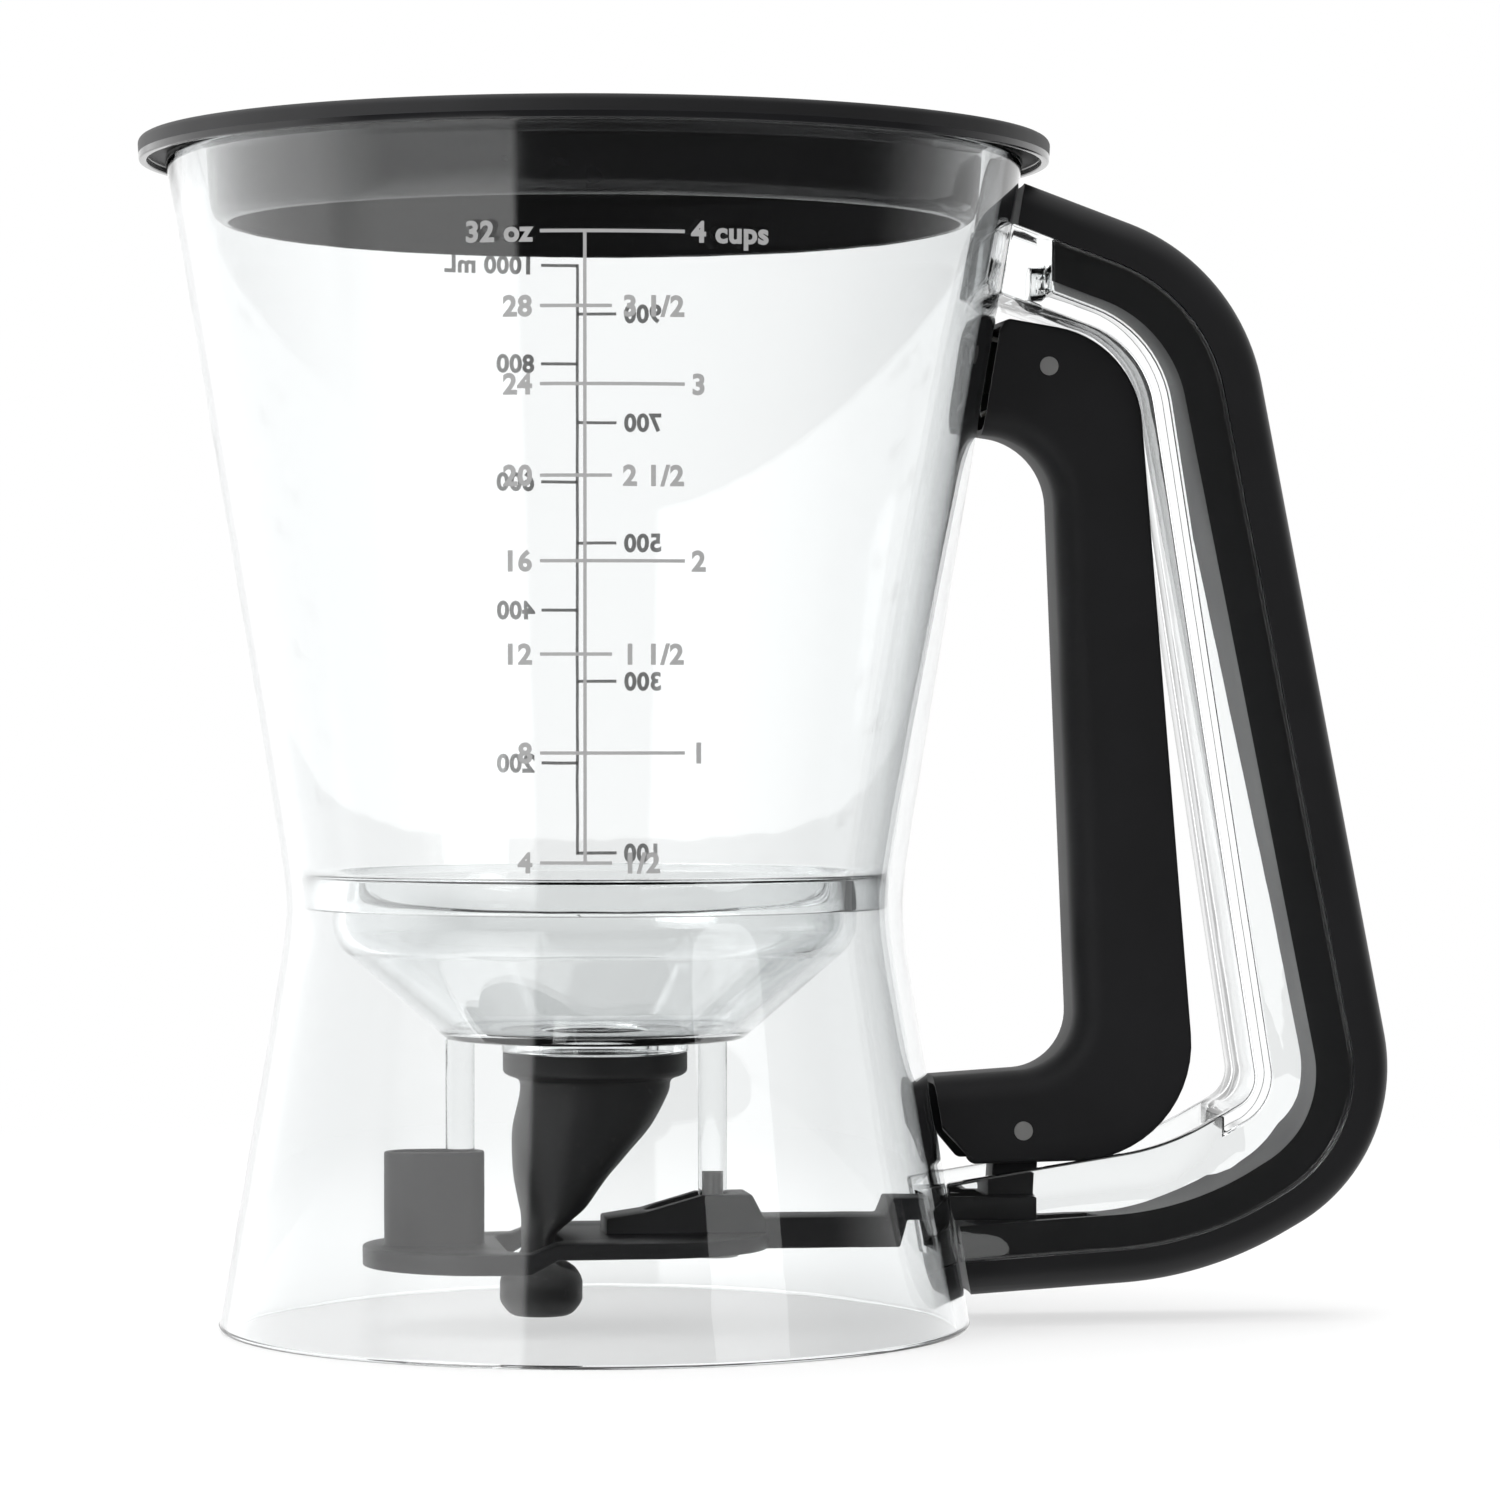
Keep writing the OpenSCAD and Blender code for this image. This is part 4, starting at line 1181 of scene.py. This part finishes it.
    def build(self) -> None:
        """Lay the print on the jug."""
        bm = self.flat_print()
        bmesh.ops.remove_doubles(bm, verts=bm.verts, dist=SAME)
        for v in bm.verts:
            v.co = self.lay(v.co.copy())
        piece = finish_mesh(bm, self.name, merge=SAME / 10)
        piece.data.materials.append(self.ink.material)
        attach(piece, ROOT)
        LOG.info("%s: %d faces of print", self.name, len(piece.data.polygons))


OUNCES_AND_CUPS = PrintedScale(
    "printed_scale_front", Side.FRONT, Finish.FRONT_INK, spine_px=585, left=Reach(540, 532),
    right=Reach(612, 623), whole_right=Reach(685, 692), levels=(
        Level(164.2, "32 oz", "4 cups", whole=True), Level(153.6, "28", "3 1/2"),
        Level(142.5, "24", "3", whole=True), Level(129.4, "20", "2 1/2"),
        Level(117.1, "16", "2", whole=True), Level(103.6, "12", "1 1/2"),
        Level(89.2, "8", "1", whole=True), Level(73.1, "4", "1/2")))

MILLILITRES = PrintedScale(
    "printed_scale_back", Side.BACK, Finish.BACK_INK, spine_px=577, left=Reach(540, 533),
    right=Reach(617, 625), whole_right=Reach(617, 625), levels=(
        Level(169.2, left="1000 mL"), Level(161.1, right="900"), Level(152.7, left="800"),
        Level(142.9, right="700"), Level(133.0, left="600"), Level(122.9, right="500"),
        Level(111.8, left="400"), Level(100.1, right="300"), Level(86.7, left="200"),
        Level(72.0, right="100")))


# ---- carried pieces ----

CARRIED = {"left_guide_post": Finish.CLEAR_BODY, "right_guide_post": Finish.CLEAR_BODY,
           "guide_screws": Finish.STEEL, "handle_root_plug": Finish.CLEAR_HANDLE,
           "hinge_pin": Finish.STEEL, "link_pin": Finish.STEEL, "trigger_spring": Finish.STEEL}


def dress_carried_nodes() -> None:
    """Give the frame's own small pieces their finishes."""
    for name, finish in CARRIED.items():
        for material_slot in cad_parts[name].material_slots:
            material_slot.material = finish.material
        LOG.info("%s: carried with %s", name, finish.value.name)


# ---- studio ----

@dataclass(frozen=True)
class Fade:
    """A level that runs from low to high while a measure goes from start to end.

    The measures of a direction are its turn to the left of the camera, in
    radians, how far it points towards the camera, its height and its steepness.
    """

    measure: str
    start: float
    end: float
    low: float
    high: float


@dataclass(frozen=True)
class Lamp:
    """A soft lamp, by its distances in metres towards the camera, to the left and up."""

    name: str
    towards: float
    left: float
    up: float
    size: float
    power: float


@dataclass
class Studio:
    """Pale floor, white surround and the camera of the photograph.

    The camera sees a plain white surround. What the part mirrors and lets
    through is darker in front, so that black stays black, with a bright panel
    on the left, a pale wall behind and some light from over and under.
    """

    front: float = 0.06
    panel: float = 1.7
    wall: float = 1.16
    plain: float = 0.72
    floor_radius: float = 3.0
    floor_drop: float = 0.02 * MM
    aim: tuple[float, float, float] = (0.02, 0.0, 0.08)
    lamps: tuple[Lamp, ...] = (Lamp("key", 0.9, 1.1, 1.1, size=0.9, power=14.0),
                               Lamp("top", -0.2, 0.0, 1.6, size=1.2, power=16.0),
                               Lamp("fill", 1.0, -1.2, 0.5, size=0.8, power=4.0))

    def fades(self) -> dict[str, Fade]:
        """Levels that make up the surround."""
        return {"panel_start": Fade("turn", math.radians(21), math.radians(23), self.front, self.panel),
                "panel_end": Fade("turn", math.radians(150), math.radians(165), 1.0, 0.0),
                "off_level": Fade("steepness", 0.1, 0.2, 0.0, 1.0),
                "off_front": Fade("turn", 1.0, 1.4, 0.0, 1.0),
                "wall": Fade("towards", -0.75, 0.1, self.wall, self.front),
                "wall_height": Fade("steepness", 0.25, 0.75, 1.0, 0.25),
                "under": Fade("height", -0.62, -0.48, 0.8, 0.0),
                "over": Fade("height", 0.35, 0.8, 0.0, 1.0)}

    def measures(self, tree: NodeTree) -> dict[str, NodeSocket]:
        """Measure the direction that a ray comes from.

        Args:
            tree: the world's node tree.
        Returns:
            An output for each measure that a fade reads.
        """
        way = add_node(tree, "ShaderNodeTexCoord").outputs["Generated"]
        towards, left = (add_node(tree, "ShaderNodeVectorMath", {0: way, 1: axis},
                                  operation="DOT_PRODUCT").outputs["Value"]
                         for axis in (-VIEW.look, -VIEW.right))
        height = add_node(tree, "ShaderNodeSeparateXYZ", {0: way}).outputs["Z"]
        turn = add_node(tree, "ShaderNodeMath", {0: left, 1: towards}, operation="ARCTAN2")
        steepness = add_node(tree, "ShaderNodeMath", {0: height}, operation="ABSOLUTE")
        return {"towards": towards, "height": height, "turn": turn.outputs[0],
                "steepness": steepness.outputs[0]}

    def world(self) -> None:
        """White surround, with one bright panel on the left for reflections."""
        world = bpy.data.worlds.new("surround")
        bpy.context.scene.world = world
        world.use_nodes = True
        tree = world.node_tree
        tree.nodes.clear()
        measures = self.measures(tree)
        levels = {name: add_node(tree, "ShaderNodeMapRange", {
            "Value": measures[fade.measure], "From Min": fade.start, "From Max": fade.end,
            "To Min": fade.low, "To Max": fade.high}) for name, fade in self.fades().items()}
        path = add_node(tree, "ShaderNodeLightPath")
        levels["mirrored"], levels["let_through"] = (
            path.outputs[name] for name in ("Is Glossy Ray", "Is Transmission Ray"))
        for made, one, two, operation in (
                ("panel", "panel_start", "panel_end", "MULTIPLY"),
                ("apart", "off_level", "off_front", "MAXIMUM"),
                ("panel", "panel", "apart", "MULTIPLY"), ("wall", "wall", "wall_height", "MULTIPLY"),
                ("sides", "panel", "wall", "MAXIMUM"), ("ends", "under", "over", "MAXIMUM"),
                ("around", "sides", "ends", "MAXIMUM"),
                ("bounced", "mirrored", "let_through", "MAXIMUM")):
            levels[made] = add_node(tree, "ShaderNodeMath", {0: levels[one], 1: levels[two]},
                                    operation=operation)
        seen = add_node(tree, "ShaderNodeMix", {
            0: levels["bounced"], 2: self.plain, 3: levels["around"]}, data_type="FLOAT")
        strength = add_node(tree, "ShaderNodeMix", {
            0: path.outputs["Is Camera Ray"], 2: seen, 3: 1.0}, data_type="FLOAT")
        background = add_node(tree, "ShaderNodeBackground", {
            "Color": srgb("#FFFFFF"), "Strength": strength})
        add_node(tree, "ShaderNodeOutputWorld", {"Surface": background})

    def floor(self) -> None:
        """Lay the floor under the part."""
        bm = bmesh.new()
        bmesh.ops.create_circle(bm, cap_ends=True, segments=96, radius=self.floor_radius)
        floor = finish_mesh(bm, "floor")
        floor.location.z = -self.floor_drop
        floor.data.materials.append(Finish.FLOOR.material)

    def lights(self) -> None:
        """Hang a key from the left, a soft top and a weak fill, all aimed at the part."""
        for spec in self.lamps:
            light = bpy.data.lights.new(spec.name, "AREA")
            light.shape, light.size, light.energy = "DISK", spec.size, spec.power
            lamp = linked(spec.name, light)
            lamp.location = (-VIEW.look * spec.towards - VIEW.right * spec.left
                             + Vector((0, 0, spec.up)))
            lamp.rotation_euler = (Vector(self.aim) - lamp.location).to_track_quat("-Z", "Y").to_euler()
            lamp.visible_glossy = False

    def camera(self) -> None:
        """Stand the camera where the photograph was taken."""
        lens = bpy.data.cameras.new("camera")
        lens.sensor_width = VIEW.sensor_mm
        lens.lens = VIEW.focal_px / VIEW.image_px * VIEW.sensor_mm
        middle = VIEW.image_px / 2
        turn = math.atan((middle - VIEW.jug_axis_px) / VIEW.focal_px)
        tilt = math.atan((middle - VIEW.horizon_px) / VIEW.focal_px)
        camera = linked("camera", lens)
        camera.location = -VIEW.look * VIEW.distance + Vector((0, 0, VIEW.eye_height))
        camera.rotation_euler = (math.pi / 2 - tilt, 0.0, -VIEW.turn - turn)
        bpy.context.scene.camera = camera

    def build(self) -> None:
        """Set the whole studio."""
        self.world()
        self.floor()
        self.lights()
        self.camera()
        view = bpy.context.scene.view_settings
        view.view_transform, view.look, view.exposure, view.gamma = "Standard", "None", 0.0, 1.0


def measure() -> None:
    """Bring the scene up to date."""
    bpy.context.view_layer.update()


def main() -> None:
    """Dress the frame and light it."""
    logging.basicConfig(level=logging.INFO, format="%(name)s: %(message)s")
    Vessel().build()
    Lid().build()
    Handle().build()
    Trigger().build()
    Valve().build()
    OUNCES_AND_CUPS.build()
    MILLILITRES.build()
    dress_carried_nodes()
    Studio().build()
    measure()


if __name__ == "__main__":
    main()
